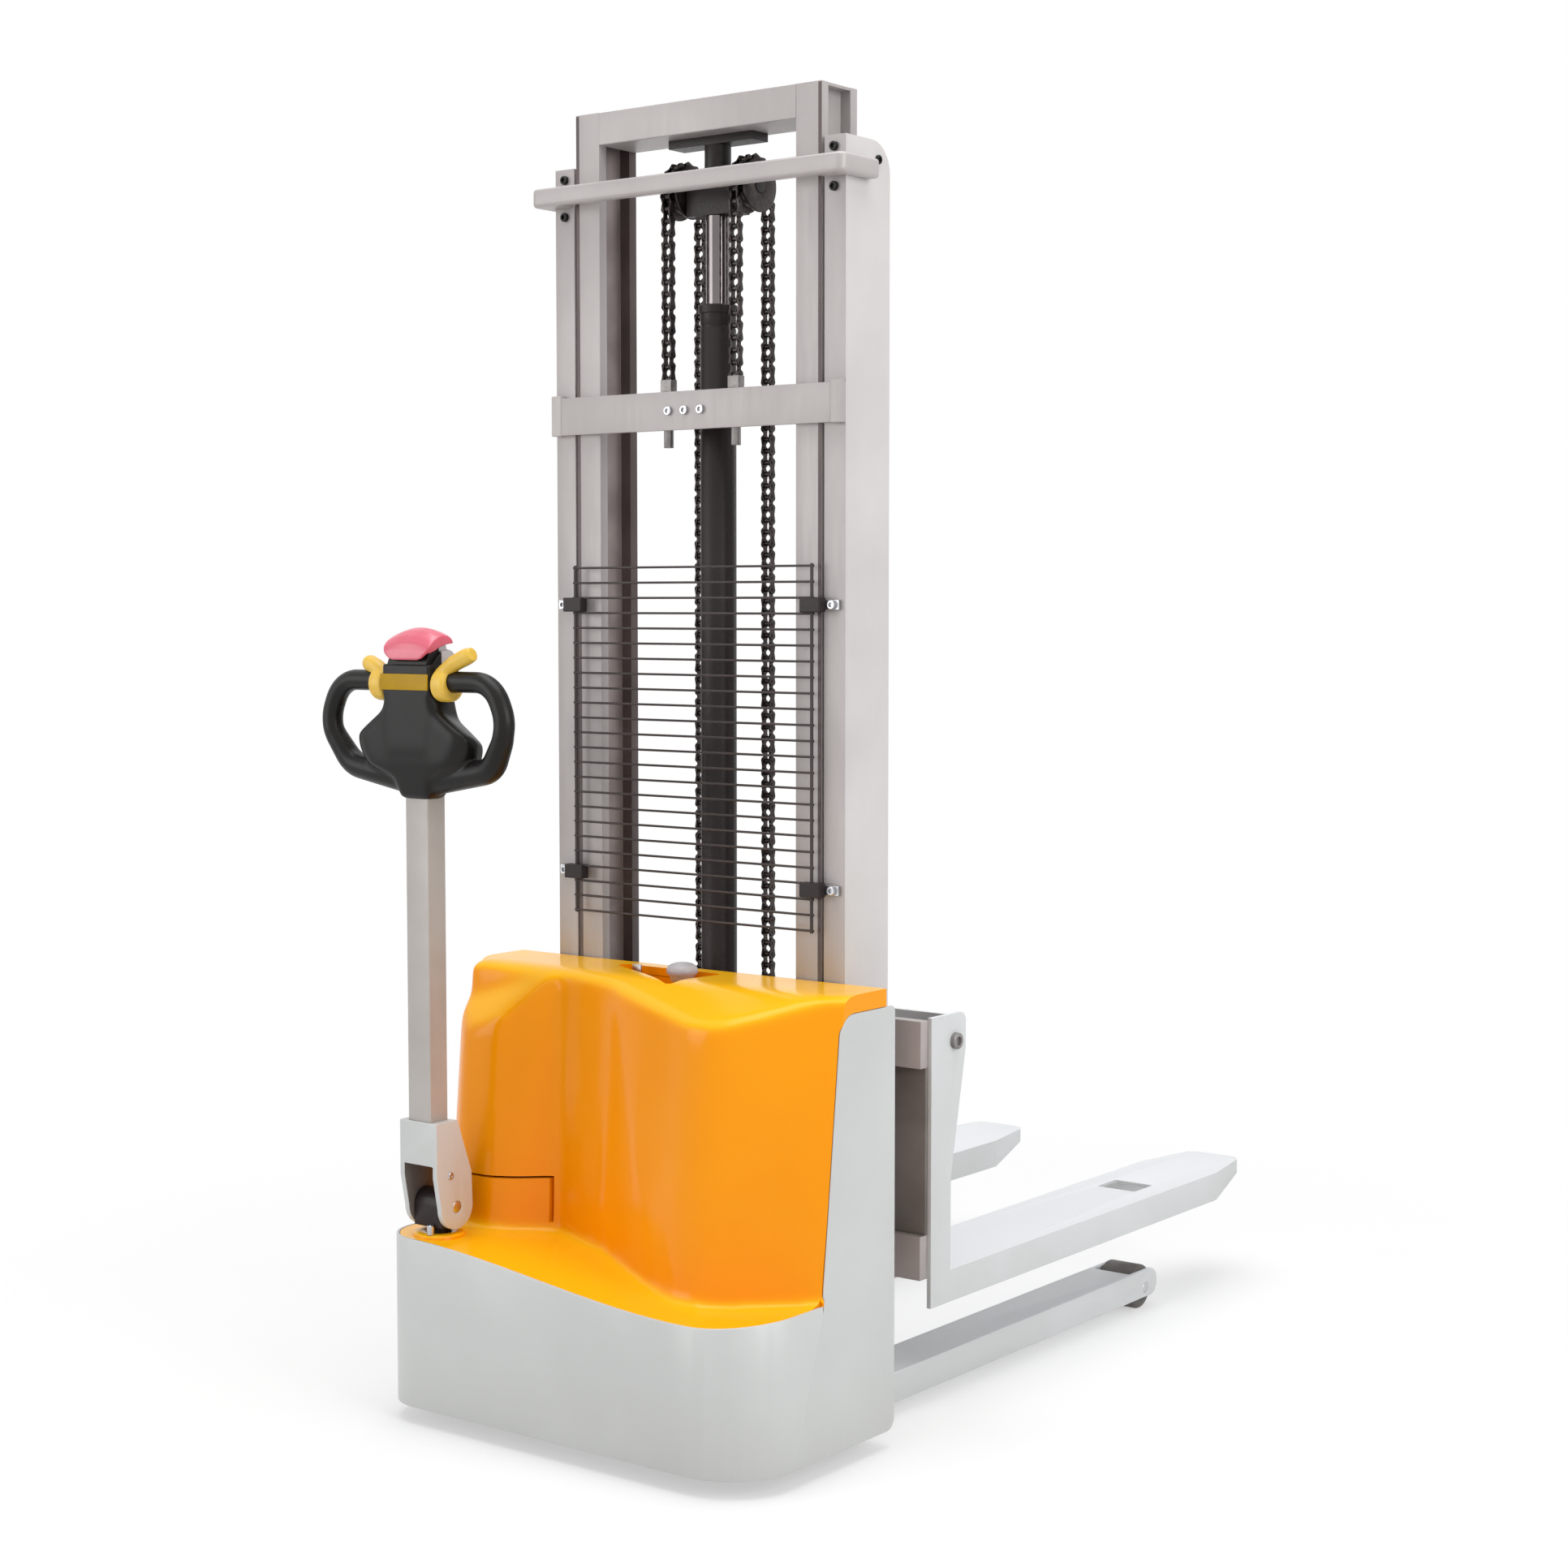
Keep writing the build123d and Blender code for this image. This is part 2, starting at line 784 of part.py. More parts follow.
def make_top_beam():
    beam = block(-inner_inner_x, inner_inner_x, 0, inner_depth, top_beam_foot, inner_top)
    hollow = block(-inner_inner_x, inner_inner_x, beam_wall, inner_depth - beam_wall,
                   top_beam_foot + beam_wall, inner_top - beam_wall)
    return beam - hollow


def make_lower_beam():
    top = inner_foot + lower_beam_height
    return block(-inner_inner_x, inner_inner_x, 0, lower_beam_depth, inner_foot, top)


# Yoke, crossbeam and their bolts

def make_yoke():
    outer = mast_half + yoke_bar
    points = [(-outer, yoke_arm_front), (-outer, -yoke_rear), (outer, -yoke_rear), (outer, yoke_arm_front)]
    points += [(mast_half, yoke_arm_front), (mast_half, yoke_bar - yoke_rear)]
    points += [(-mast_half, yoke_bar - yoke_rear), (-mast_half, yoke_arm_front)]
    bar = plan_plate(points, [0, yoke_round, yoke_round, 0, 0, 0, 0, 0], yoke_foot, yoke_foot + yoke_height)
    pad = block(outer_flange_x + seam, mast_half, yoke_bar - yoke_rear, 0, yoke_foot, yoke_foot + yoke_height)
    return bar + pad + other_side(pad)


def make_crossbeam():
    plate = block(-mast_half, mast_half, -beam_pad - beam_plate, -beam_pad, beam_foot, beam_top)
    pad = block(outer_flange_x + seam, mast_half, -beam_pad, 0, beam_foot, beam_top)
    shelf = block(-shelf_half, shelf_half, -beam_pad, shelf_front, beam_top - shelf_thick, beam_top)
    saddle = bar_z(cylinder_radius + roller_gap, beam_top - shelf_thick, beam_top, 0, cylinder_y)
    stud_hole = bar_z(anchor_stud, beam_top - shelf_thick, beam_top, chain_x, chain_rear_y)
    beam = plate + pad + other_side(pad) + shelf
    return beam - saddle - stud_hole - other_side(stud_hole)


def make_chain_anchor():
    stud = bar_z(anchor_stud, anchor_foot, beam_top, chain_x, chain_rear_y)
    nut_top = beam_top - shelf_thick
    nut = bar_z(anchor_nut, nut_top - anchor_nut_height, nut_top, chain_x, chain_rear_y)
    half = chain_width / 2
    deep = chain_height / 2
    fork = block(chain_x - half, chain_x + half, chain_rear_y - deep, chain_rear_y + deep,
                 beam_top, anchor_top)
    return stud + nut + fork


def rear_bolt(x, z, seat_y):
    return bar_y(bolt_radius, seat_y - bolt_height, seat_y, x, z)


def make_mast_bolts():
    bolts = []
    for z in (mast_bolt_upper, mast_bolt_lower):
        bolts += both_sides(rear_bolt(mast_bolt_x, z, 0))
    for z in (clip_low, clip_high):
        bolts += both_sides(rear_bolt(mast_bolt_x, z, -clip_rear))
    for step in (-1, 0, 1):
        bolts.append(rear_bolt(beam_bolt_x + step * beam_bolt_pitch, (beam_foot + beam_top) / 2,
                               -beam_pad - beam_plate))
    return bolts


# Wire guard

def make_wire_guard():
    pitch = (guard_top - guard_foot) / (guard_rows - 1)
    reach = 2 * guard_wire
    wires = both_sides(bar_z(guard_edge_wire, guard_foot - reach, guard_top + reach, guard_half, guard_y))
    for row in range(guard_rows):
        wires.append(bar_x(guard_wire, -guard_half, guard_half, guard_y, guard_foot + row * pitch))
    return wires[0].fuse(*wires[1:])


def make_guard_clips():
    clips = []
    for z in (clip_low, clip_high):
        low = z - clip_height / 2
        high = z + clip_height / 2
        body = block(clip_inner, clip_outer, -clip_rear, -clip_lift, low, high)
        pad = block(outer_flange_x + seam, clip_outer, -clip_lift, 0, low, high)
        clips += both_sides(body + pad)
    return clips


# Lift cylinder, ram and chains

def make_cylinder():
    tube = bar_z(cylinder_radius, leg_top, cylinder_top, 0, cylinder_y)
    bore = bar_z(cylinder_bore, leg_top + cylinder_floor, cylinder_top, 0, cylinder_y)
    gland_top = cylinder_top + gland_height
    gland = bar_z(gland_radius, cylinder_top, gland_top, 0, cylinder_y)
    rod_hole = bar_z(rod_radius + running_gap, cylinder_top, gland_top, 0, cylinder_y)
    return (tube - bore) + (gland - rod_hole)


def make_rod():
    return bar_z(rod_radius, rod_foot, carrier_foot, 0, cylinder_y)


def make_carrier():
    rear = cylinder_y - carrier_depth / 2
    front = cylinder_y + carrier_depth / 2
    head = block(-carrier_half, carrier_half, rear, front, carrier_foot, carrier_top)
    axle_end = chain_x + chain_wheel_width / 2 + seam
    axle = bar_x(chain_axle, -axle_end, axle_end, cylinder_y, chain_wheel_z)
    plate_z = top_beam_foot - head_plate_thick
    post = bar_z(post_radius, carrier_top, plate_z, 0, cylinder_y)
    plate = block(-head_plate_half, head_plate_half, rear, front, plate_z, top_beam_foot)
    return head + axle + post + plate


def make_chain_wheel():
    left = chain_x - chain_wheel_width / 2
    right = chain_x + chain_wheel_width / 2
    groove_half = chain_width / 2 + seam
    root = chain_pitch_radius - chain_height / 2 - roller_gap
    wheel = bar_x(chain_wheel_rim, left, right, cylinder_y, chain_wheel_z)
    groove = bar_x(chain_wheel_rim, chain_x - groove_half, chain_x + groove_half, cylinder_y, chain_wheel_z)
    groove -= bar_x(root, chain_x - groove_half, chain_x + groove_half, cylinder_y, chain_wheel_z)
    return wheel - groove - bar_x(chain_axle + running_gap, left, right, cylinder_y, chain_wheel_z)


def chain_strand(y, z0, z1):
    half = chain_width / 2
    deep = chain_height / 2
    return block(chain_x - half, chain_x + half, y - deep, y + deep, z0, z1)


def make_front_chain():
    half = chain_width / 2
    deep = chain_height / 2
    arch = bar_x(chain_pitch_radius + deep, chain_x - half, chain_x + half, cylinder_y, chain_wheel_z)
    arch -= bar_x(chain_pitch_radius - deep, chain_x - half, chain_x + half, cylinder_y, chain_wheel_z)
    reach = chain_pitch_radius + chain_height
    arch &= block(chain_x - half, chain_x + half, cylinder_y - reach, cylinder_y + reach, chain_wheel_z,
                  chain_wheel_z + reach)
    return arch + chain_strand(chain_front_y, chain_foot, chain_wheel_z)


# Carriage and forks

def make_carriage_cheek():
    cheek = block(cheek_outer - cheek_thick, cheek_outer, cheek_rear, bar_rear, cheek_foot, cheek_top)
    pin_end = inner_web_x - inner_web - roller_side_gap
    for z in (carriage_roller_low, carriage_roller_high):
        cheek += bar_x(pin_radius, cheek_outer - cheek_thick, pin_end, inner_mid_y, z)
    return cheek


def make_carriage_bars():
    upper = block(-bar_half, bar_half, bar_rear, shank_rear, upper_bar_foot, upper_bar_top)
    lower = block(-bar_half, bar_half, bar_rear, shank_rear, lower_bar_foot, lower_bar_top)
    lug = block(chain_x - lug_width / 2, chain_x + lug_width / 2, lug_rear, bar_rear, lug_foot, lower_bar_top)
    stem = block(chain_x - chain_width / 2, chain_x + chain_width / 2, chain_front_y - chain_height / 2,
                 chain_front_y + chain_height / 2, lower_bar_top, chain_foot)
    lower = lower + lug + other_side(lug) + stem + other_side(stem)
    return [upper, lower]


def make_back_plate():
    rear = shank_rear - back_plate_thick
    return block(-bar_half, bar_half, rear, shank_rear, lower_bar_top, upper_bar_foot)


def make_fork():
    foot = fork_top - fork_height
    mouth = fork_top - fork_plate
    tip_foot = fork_top - fork_tip_height
    tip_left = fork_centre - fork_tip_width / 2
    tip_right = fork_centre + fork_tip_width / 2
    plan = [(fork_inner, fork_heel_y), (fork_outer, fork_heel_y), (fork_outer, fork_taper_y)]
    plan += [(tip_right, fork_tip_y), (tip_left, fork_tip_y), (fork_inner, fork_taper_y)]
    blade = plan_plate(plan, [0, 0] + 4 * [fork_tip_round], foot, fork_top)
    belly = [(fork_heel_y, foot), (fork_taper_y, foot), (fork_tip_y, tip_foot)]
    belly += [(fork_tip_y, fork_top), (fork_heel_y, fork_top)]
    blade &= side_plate(belly, 0, fork_inner, fork_outer)
    slope = atan2(fork_width - fork_tip_width, 2 * (fork_tip_y - fork_taper_y))
    inset = fork_wall / cos(slope)
    channel_end = fork_tip_y - fork_tip_round
    end_inset = (fork_width - fork_tip_width) / 2 * (channel_end - fork_taper_y) / (fork_tip_y - fork_taper_y)
    hollow = [(fork_inner + fork_wall, fork_heel_y), (fork_outer - fork_wall, fork_heel_y)]
    hollow += [(fork_outer - inset, fork_taper_y), (fork_outer - inset - end_inset, channel_end)]
    hollow += [(fork_inner + inset + end_inset, channel_end), (fork_inner + inset, fork_taper_y)]
    blade -= plan_plate(hollow, 0, foot, mouth)
    window_rear = wheel_y - window_length / 2
    window_left = fork_centre - window_width / 2
    blade -= plan_plate([(window_left, window_rear), (window_left + window_width, window_rear),
                         (window_left + window_width, window_rear + window_length),
                         (window_left, window_rear + window_length)], fork_plate, mouth, fork_top)
    side = [(shank_rear, foot), (fork_heel_y, foot), (fork_heel_y, shank_knee_z), (shank_ear_y, shank_ear_z)]
    side += [(shank_ear_y, shank_top), (shank_rear, shank_top)]
    radii = [0, 0, 0, 0, shank_round, 0]
    shank = side_plate(side, radii, fork_inner, fork_inner + fork_wall)
    shank += side_plate(side, radii, fork_outer - fork_wall, fork_outer)
    face = block(fork_inner, fork_outer, fork_heel_y - fork_wall, fork_heel_y, mouth, shank_top)
    return blade + shank + face


# Steering column and its chain

def make_column():
    half = clevis_width / 2 - clevis_cheek - turn_gap
    shaft = bar_z(column_radius, column_foot, column_head_foot, tiller_x, tiller_y)
    sprocket = bar_z(sprocket_radius, sprocket_foot, sprocket_top, tiller_x, tiller_y)
    neck = block(tiller_x - half, tiller_x + half, tiller_y - column_head_radius,
                 tiller_y + column_head_radius, column_head_foot, pivot_z)
    knuckle = bar_x(column_head_radius, tiller_x - half, tiller_x + half, tiller_y, pivot_z)
    bore = bar_x(pivot_pin + running_gap, tiller_x - half, tiller_x + half, tiller_y, pivot_z)
    return shaft + sprocket + neck + knuckle - bore


def make_steering_chain():
    reach = hypot(drive_x - tiller_x, drive_y - tiller_y)
    turn = degrees(atan2(drive_y - tiller_y, drive_x - tiller_x))
    outer = sprocket_radius + roller_gap + steering_chain
    inner = sprocket_radius + roller_gap
    loop = SlotCenterToCenter(reach, 2 * outer) - SlotCenterToCenter(reach, 2 * inner)
    middle = Pos((drive_x + tiller_x) / 2, (drive_y + tiller_y) / 2, sprocket_foot)
    return middle * Rot(0, 0, turn) * extrude(loop, amount=sprocket_thick)


# Tiller

def make_pivot_pin():
    return bar_x(pivot_pin, tiller_x - clevis_width / 2, tiller_x + clevis_width / 2, tiller_y, pivot_z)


def tube_space(z0, z1):
    half = tube_width / 2
    return block(tiller_x - half, tiller_x + half, -tube_rear, tube_depth - tube_rear, z0, z1)


def make_clevis():
    left = tiller_x - clevis_width / 2
    right = tiller_x + clevis_width / 2
    side = [(-clevis_rear, clevis_knee), (tiller_y - clevis_round, pivot_z)]
    side += [(tiller_y + clevis_round, pivot_z), (-clevis_front, clevis_knee)]
    side += [(-clevis_front_top, clevis_top), (-clevis_rear, clevis_top)]
    body = side_plate(side, 0, left, right) + bar_x(clevis_round, left, right, tiller_y, pivot_z)
    gap = block(left + clevis_cheek, right - clevis_cheek, -clevis_rear - seam, clevis_round - clevis_front,
                pivot_z - clevis_round, clevis_slot_top)
    body -= gap
    bore = bar_x(pivot_pin, left, right, tiller_y, pivot_z)
    return body - bore - tube_space(tube_foot, clevis_top)


def make_tube():
    tube = tube_space(tube_foot, tube_top)
    half = tube_width / 2 - tube_wall
    bore = block(tiller_x - half, tiller_x + half, tube_wall - tube_rear, tube_depth - tube_wall - tube_rear,
                 tube_foot, tube_top)
    return tube - bore


def make_head():
    right = [(neck_half, head_foot), (neck_half, neck_z), (wing_half, wing_low), (wing_half, wing_high)]
    right += [(block_half, block_z), (block_half, head_top)]
    left = [(-x, z) for x, z in reversed(right)]
    outline = [(tiller_x + x, z) for x, z in right + left]
    radii = [0, wing_round, wing_round, wing_round, wing_round, 0]
    body = front_plate(outline, radii + radii[::-1], -head_rear, -head_front)
    body -= tube_space(head_foot, tube_top)
    stem_foot = button_foot - button_stem_length - button_travel
    middle_y = -(button_rear + button_front) / 2
    body -= bar_z(button_stem + button_stem_gap, stem_foot, head_top, tiller_x, middle_y)
    room = rocker_half + rocker_room
    rocker_low = rocker_z - rocker_height / 2 - rocker_room
    rocker_high = rocker_z + rocker_height / 2 + rocker_room
    pit = -head_front - rocker_sink - rocker_room
    body -= block(tiller_x - room, tiller_x + room, pit, -head_front, rocker_low, rocker_high)
    horn_pit = -head_front - horn_sink - horn_travel - seam
    return body - bar_y(horn_radius + button_stem_gap, horn_pit, -head_front, tiller_x, horn_z)


def make_grips(head):
    grips = []
    for side in (1, -1):
        path = [(0, grip_root_z), (grip_top_x, grip_root_z), (grip_out_x, grip_out_z)]
        path += [(grip_low_x, grip_low_z), (grip_end_x, grip_end_z)]
        line = FilletPolyline(*[(tiller_x + side * x, grip_y, z) for x, z in path], radius=grip_bend)
        start = Plane(origin=line @ 0, z_dir=line % 0)
        loop = sweep(start * Circle(grip_radius), path=line)
        outside = (loop - head).solids()
        grips.append(max(outside, key=lambda solid: solid.volume))
    return grips


def make_head_plate():
    left = tiller_x - block_half
    right = tiller_x + block_half
    return block(left, right, -head_rear - trim_thick, -head_rear, trim_foot, trim_top)


def make_throttle():
    levers = []
    for side in (1, -1):
        x0 = tiller_x + side * (block_half + turn_gap)
        x1 = x0 + side * collar_width
        tip = tiller_x + side * lever_reach
        collar = bar_x(collar_radius, min(x0, x1), max(x0, x1), grip_y, grip_root_z)
        collar -= bar_x(grip_radius + roller_gap, min(x0, x1), max(x0, x1), grip_y, grip_root_z)
        wing = block(min(x0, tip), max(x0, tip), grip_y - lever_thick / 2, grip_y + lever_thick / 2,
                     grip_root_z + lever_foot, grip_root_z + lever_top)
        levers.append(collar + wing)
    return levers


def make_belly_button():
    side = [(-button_rear, button_foot), (-button_front, button_foot)]
    side += [(-button_front, button_top), (-button_rear, button_top)]
    cap = side_plate(side, [0, 0, button_round, button_round], tiller_x - block_half, tiller_x + block_half)
    middle_y = -(button_rear + button_front) / 2
    return cap + bar_z(button_stem, button_foot - button_stem_length, button_foot, tiller_x, middle_y)


def make_rocker():
    rear = -head_front - rocker_sink
    front = rocker_proud - head_front
    low = rocker_z - rocker_height / 2
    high = rocker_z + rocker_height / 2
    side = [(rear, low), (front, low), (front, high), (rear, high)]
    radii = [0, rocker_round, rocker_round, 0]
    return side_plate(side, radii, tiller_x - rocker_half, tiller_x + rocker_half)


def make_horn_button():
    return bar_y(horn_radius, -head_front - horn_sink, horn_proud - head_front, tiller_x, horn_z)


# Drive unit, its motor and wheel

def make_drive_unit():
    flange_top = base_foot - roller_gap
    flange = bar_z(drive_flange_radius, drive_flange_foot, flange_top, drive_x, drive_y)
    neck = bar_z(drive_neck, flange_top, drive_neck_top, drive_x, drive_y)
    post = bar_z(drive_post, drive_neck_top, drive_post_top, drive_x, drive_y)
    sprocket = bar_z(sprocket_radius, sprocket_foot, sprocket_top, drive_x, drive_y)
    arm_in = drive_wheel_width / 2 + drive_side_gap
    arm_out = arm_in + drive_arm
    unit = flange + neck + post + sprocket
    for x0, x1 in ((drive_x + arm_in, drive_x + arm_out), (drive_x - arm_out, drive_x - arm_in)):
        unit += block(x0, x1, drive_y - drive_arm_depth / 2, drive_y + drive_arm_depth / 2,
                      drive_wheel_radius - drive_arm_depth / 2, drive_flange_foot)
    return unit + bar_x(drive_axle, drive_x - arm_out, drive_x + arm_out, drive_y, drive_wheel_radius)


def make_drive_motor():
    return bar_z(motor_radius, drive_post_top, motor_top, drive_x, drive_y)


def make_drive_wheel():
    left = drive_x - drive_wheel_width / 2
    right = drive_x + drive_wheel_width / 2
    wheel = bar_x(drive_wheel_radius, left, right, drive_y, drive_wheel_radius)
    wheel = fillet(wheel.edges().filter_by(GeomType.CIRCLE), drive_wheel_round)
    return wheel - bar_x(drive_axle + running_gap, left, right, drive_y, drive_wheel_radius)


# Caster

def make_caster_mount():
    half = caster_mount_size / 2
    low = base_foot - caster_mount_thick
    plate = block(caster_x - half, caster_x + half, caster_y - half, caster_y + half, low, base_foot)
    return plate + bar_z(caster_kingpin, caster_crown_foot, low, caster_x, caster_y)


def make_caster_fork():
    arm_in = caster_width / 2 + caster_side_gap
    arm_out = arm_in + caster_arm
    axle_y = caster_y - caster_trail
    hub_top = base_foot - caster_mount_thick - roller_gap
    crown = block(caster_x - arm_out, caster_x + arm_out, axle_y - caster_arm_depth / 2,
                  axle_y - caster_arm_depth / 2 + caster_crown_depth, caster_crown_foot, caster_crown_top)
    fork = crown + bar_z(caster_hub, caster_crown_top, hub_top, caster_x, caster_y)
    for x0, x1 in ((caster_x + arm_in, caster_x + arm_out), (caster_x - arm_out, caster_x - arm_in)):
        fork += block(x0, x1, axle_y - caster_arm_depth / 2, axle_y + caster_arm_depth / 2,
                      caster_radius - caster_arm_depth / 2, caster_crown_foot)
    fork += bar_x(caster_axle, caster_x - arm_out, caster_x + arm_out, axle_y, caster_radius)
    return fork - bar_z(caster_kingpin + running_gap, caster_crown_foot, hub_top, caster_x, caster_y)


def make_caster_wheel():
    left = caster_x - caster_width / 2
    right = caster_x + caster_width / 2
    axle_y = caster_y - caster_trail
    wheel = bar_x(caster_radius, left, right, axle_y, caster_radius)
    wheel = fillet(wheel.edges().filter_by(GeomType.CIRCLE), caster_round)
    return wheel - bar_x(caster_axle + running_gap, left, right, axle_y, caster_radius)


# Batteries, power pack and controller

def make_batteries():
    stack = []
    for level in range(battery_count):
        low = plate_top + level * battery_height
        high = low + battery_height - seam
        stack.append(block(battery_left, battery_right, battery_rear, battery_front, low, high))
    return stack


def make_power_pack():
    tank_top = plate_top + tank_height
    tank = block(tank_left, tank_right, tank_rear, battery_front, plate_top, tank_top)
    middle_x = (tank_left + tank_right) / 2
    middle_y = (tank_rear + battery_front) / 2
    pump = bar_z(pump_radius, tank_top, tank_top + pump_height, middle_x, middle_y)
    return tank + pump


def make_controller():
    middle = (battery_left + battery_right) / 2
    half = controller_width / 2
    top = controller_foot + controller_height
    return block(middle - half, middle + half, bulkhead_rear - controller_depth, bulkhead_rear,
                 controller_foot, top)


hood, hatch = make_hood_and_hatch()
head = make_head()
outer_rail = make_outer_rail()
inner_rail = make_inner_rail()
leg = make_leg()
fork = make_fork()
load_wheel = make_load_wheel()
chain_wheel = make_chain_wheel()

pieces = {
    "chassis_shell": [make_chassis_shell()],
    "base_plate": [make_base_plate()],
    "bulkhead": [make_bulkhead()],
    "hood": [hood],
    "service_hatch": [hatch],
    "deck_cover": [make_deck_cover()],
    "mast_foot": [make_mast_foot()],
    "support_leg_left": [other_side(leg)],
    "support_leg_right": [leg],
    "load_wheel_axles": both_sides(make_load_axle()),
    "outer_mast_left": [other_side(outer_rail)],
    "outer_mast_right": [outer_rail],
    "mast_yoke": [make_yoke()],
    "mast_crossbeam": [make_crossbeam()],
    "chain_anchors": both_sides(make_chain_anchor()),
    "lift_cylinder": [make_cylinder()],
    "lift_chains_rear": both_sides(chain_strand(chain_rear_y, anchor_top, chain_wheel_z)),
    "wire_guard": [make_wire_guard()],
    "guard_clips": make_guard_clips(),
    "mast_bolts": make_mast_bolts(),
    "batteries": make_batteries(),
    "power_pack": [make_power_pack()],
    "motor_controller": [make_controller()],
    "caster_mount": [make_caster_mount()],
    "steering_chain": [make_steering_chain()],
    "steering_column": [make_column()],
    "tiller_pivot_pin": [make_pivot_pin()],
    "tiller_clevis": [make_clevis()],
    "tiller_tube": [make_tube()],
    "tiller_head": [head],
    "handle_loops": make_grips(head),
    "head_plate": [make_head_plate()],
    "throttle_levers": make_throttle(),
    "belly_button": [make_belly_button()],
    "lift_rocker": [make_rocker()],
    "horn_button": [make_horn_button()],
    "key_switch": [make_key_switch()],
    "emergency_stop": [make_emergency_stop()],
    "drive_unit": [make_drive_unit()],
    "drive_motor": [make_drive_motor()],
    "drive_wheel": [make_drive_wheel()],
    "caster_fork": [make_caster_fork()],
    "caster_wheel": [make_caster_wheel()],
    "load_wheel_left": [other_side(load_wheel)],
    "load_wheel_right": [load_wheel],
    "inner_mast_left": [other_side(inner_rail)],
    "inner_mast_right": [inner_rail],
    "inner_beams": [make_top_beam(), make_lower_beam()],
    "piston_rod": [make_rod()],
    "chain_wheel_carrier": [make_carrier()],
    "chain_wheels": both_sides(chain_wheel),
    "inner_mast_rollers": both_sides(make_foot_roller()),
    "outer_mast_rollers": both_sides(make_top_roller()),
    "carriage_cheeks": both_sides(make_carriage_cheek()),
    "carriage_bars": make_carriage_bars() + [make_back_plate()],
    "fork_left": [other_side(fork)],
    "fork_right": [fork],
    "carriage_rollers_upper": both_sides(make_carriage_roller(carriage_roller_high)),
    "carriage_rollers_lower": both_sides(make_carriage_roller(carriage_roller_low)),
    "lift_chains_front": both_sides(make_front_chain()),
}

# Move the origin to the bottom centre of the whole truck and write one file per piece
whole = Compound([solid for solids in pieces.values() for solid in solids]).bounding_box()
datum = Pos(-whole.center().X, -whole.center().Y, -whole.min.Z)
os.makedirs("parts", exist_ok=True)
for name, solids in pieces.items():
    placed = [datum * solid for solid in solids]
    export_step(placed[0] if len(placed) == 1 else Compound(placed), f"parts/{name}.step")
print("pieces", len(pieces), "shift", datum.position, "size", whole.size)
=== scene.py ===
import bpy
import bmesh
import json
import math
from mathutils import Matrix, Vector


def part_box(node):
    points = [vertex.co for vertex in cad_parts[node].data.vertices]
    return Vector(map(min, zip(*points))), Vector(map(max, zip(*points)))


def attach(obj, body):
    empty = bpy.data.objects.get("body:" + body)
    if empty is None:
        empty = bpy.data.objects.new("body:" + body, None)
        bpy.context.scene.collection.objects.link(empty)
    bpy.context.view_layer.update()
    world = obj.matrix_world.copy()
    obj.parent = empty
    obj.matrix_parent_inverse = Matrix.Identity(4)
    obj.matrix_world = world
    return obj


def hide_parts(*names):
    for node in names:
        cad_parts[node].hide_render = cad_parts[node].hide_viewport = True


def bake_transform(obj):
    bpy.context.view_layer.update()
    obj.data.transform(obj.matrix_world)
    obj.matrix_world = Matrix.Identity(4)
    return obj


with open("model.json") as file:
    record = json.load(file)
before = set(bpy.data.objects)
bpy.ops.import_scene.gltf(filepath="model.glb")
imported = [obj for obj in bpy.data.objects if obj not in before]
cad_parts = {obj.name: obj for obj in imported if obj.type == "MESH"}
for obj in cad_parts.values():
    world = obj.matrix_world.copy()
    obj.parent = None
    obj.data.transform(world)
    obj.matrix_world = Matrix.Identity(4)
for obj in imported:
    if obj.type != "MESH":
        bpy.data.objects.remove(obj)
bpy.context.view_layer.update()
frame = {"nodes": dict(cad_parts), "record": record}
record = frame["record"]
nodeBody = {node: body for body, nodes in record["behaviour"]["bodies"].items() for node in nodes}
nodeSlot = {part["node"]: part["material_slot"] for part in record["subparts"]}
print("frame loaded:", len(frame["nodes"]), "nodes")

# Places are truck millimetres: X from the middle of the mast, Y from the mast's rear face, Z from the floor
yokeLow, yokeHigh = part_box("mast_yoke")
midX = (yokeLow.x + yokeHigh.x) / 2
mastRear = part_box("outer_mast_right")[0].y
axisX, axisY, axisZ = Vector((1, 0, 0)), Vector((0, 1, 0)), Vector((0, 0, 1))


def spot(x, y, z):
    return Vector((midX + x / 1000, mastRear + y / 1000, z / 1000))


def truckPoint(place):
    return Vector(((place.x - midX) * 1000, (place.y - mastRear) * 1000, place.z * 1000))


def limits(node):
    low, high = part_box(node)
    return truckPoint(low), truckPoint(high)


def middleOf(node):
    low, high = limits(node)
    return (low + high) / 2


# Small tools for meshes: how near points are welded, in metres, how flat faces are merged, in degrees, and how far
# a pass of smoothing moves a point
meshLook = {"made": 1e-6, "copied": 1e-5, "flat": 0.6, "smoothing": 0.5}


def roundCorners(points, radii, steps=8):
    outline = []
    for i, radius in enumerate(radii):
        here = Vector(points[i])
        if not radius:
            outline.append(here)
            continue
        back = (Vector(points[i - 1]) - here).normalized()
        ahead = (Vector(points[(i + 1) % len(points)]) - here).normalized()
        half = back.angle(ahead) / 2
        centre = here + (back + ahead).normalized() * radius / math.sin(half)
        start = here + back * radius / math.tan(half) - centre
        end = here + ahead * radius / math.tan(half) - centre
        outline += [centre + start.slerp(end, k / steps).normalized() * radius for k in range(steps + 1)]
    return outline


def circle(centre, across, up, radius, sides):
    turns = [2 * math.pi * k / sides for k in range(sides)]
    return [centre + (across * math.cos(turn) + up * math.sin(turn)) * radius for turn in turns]


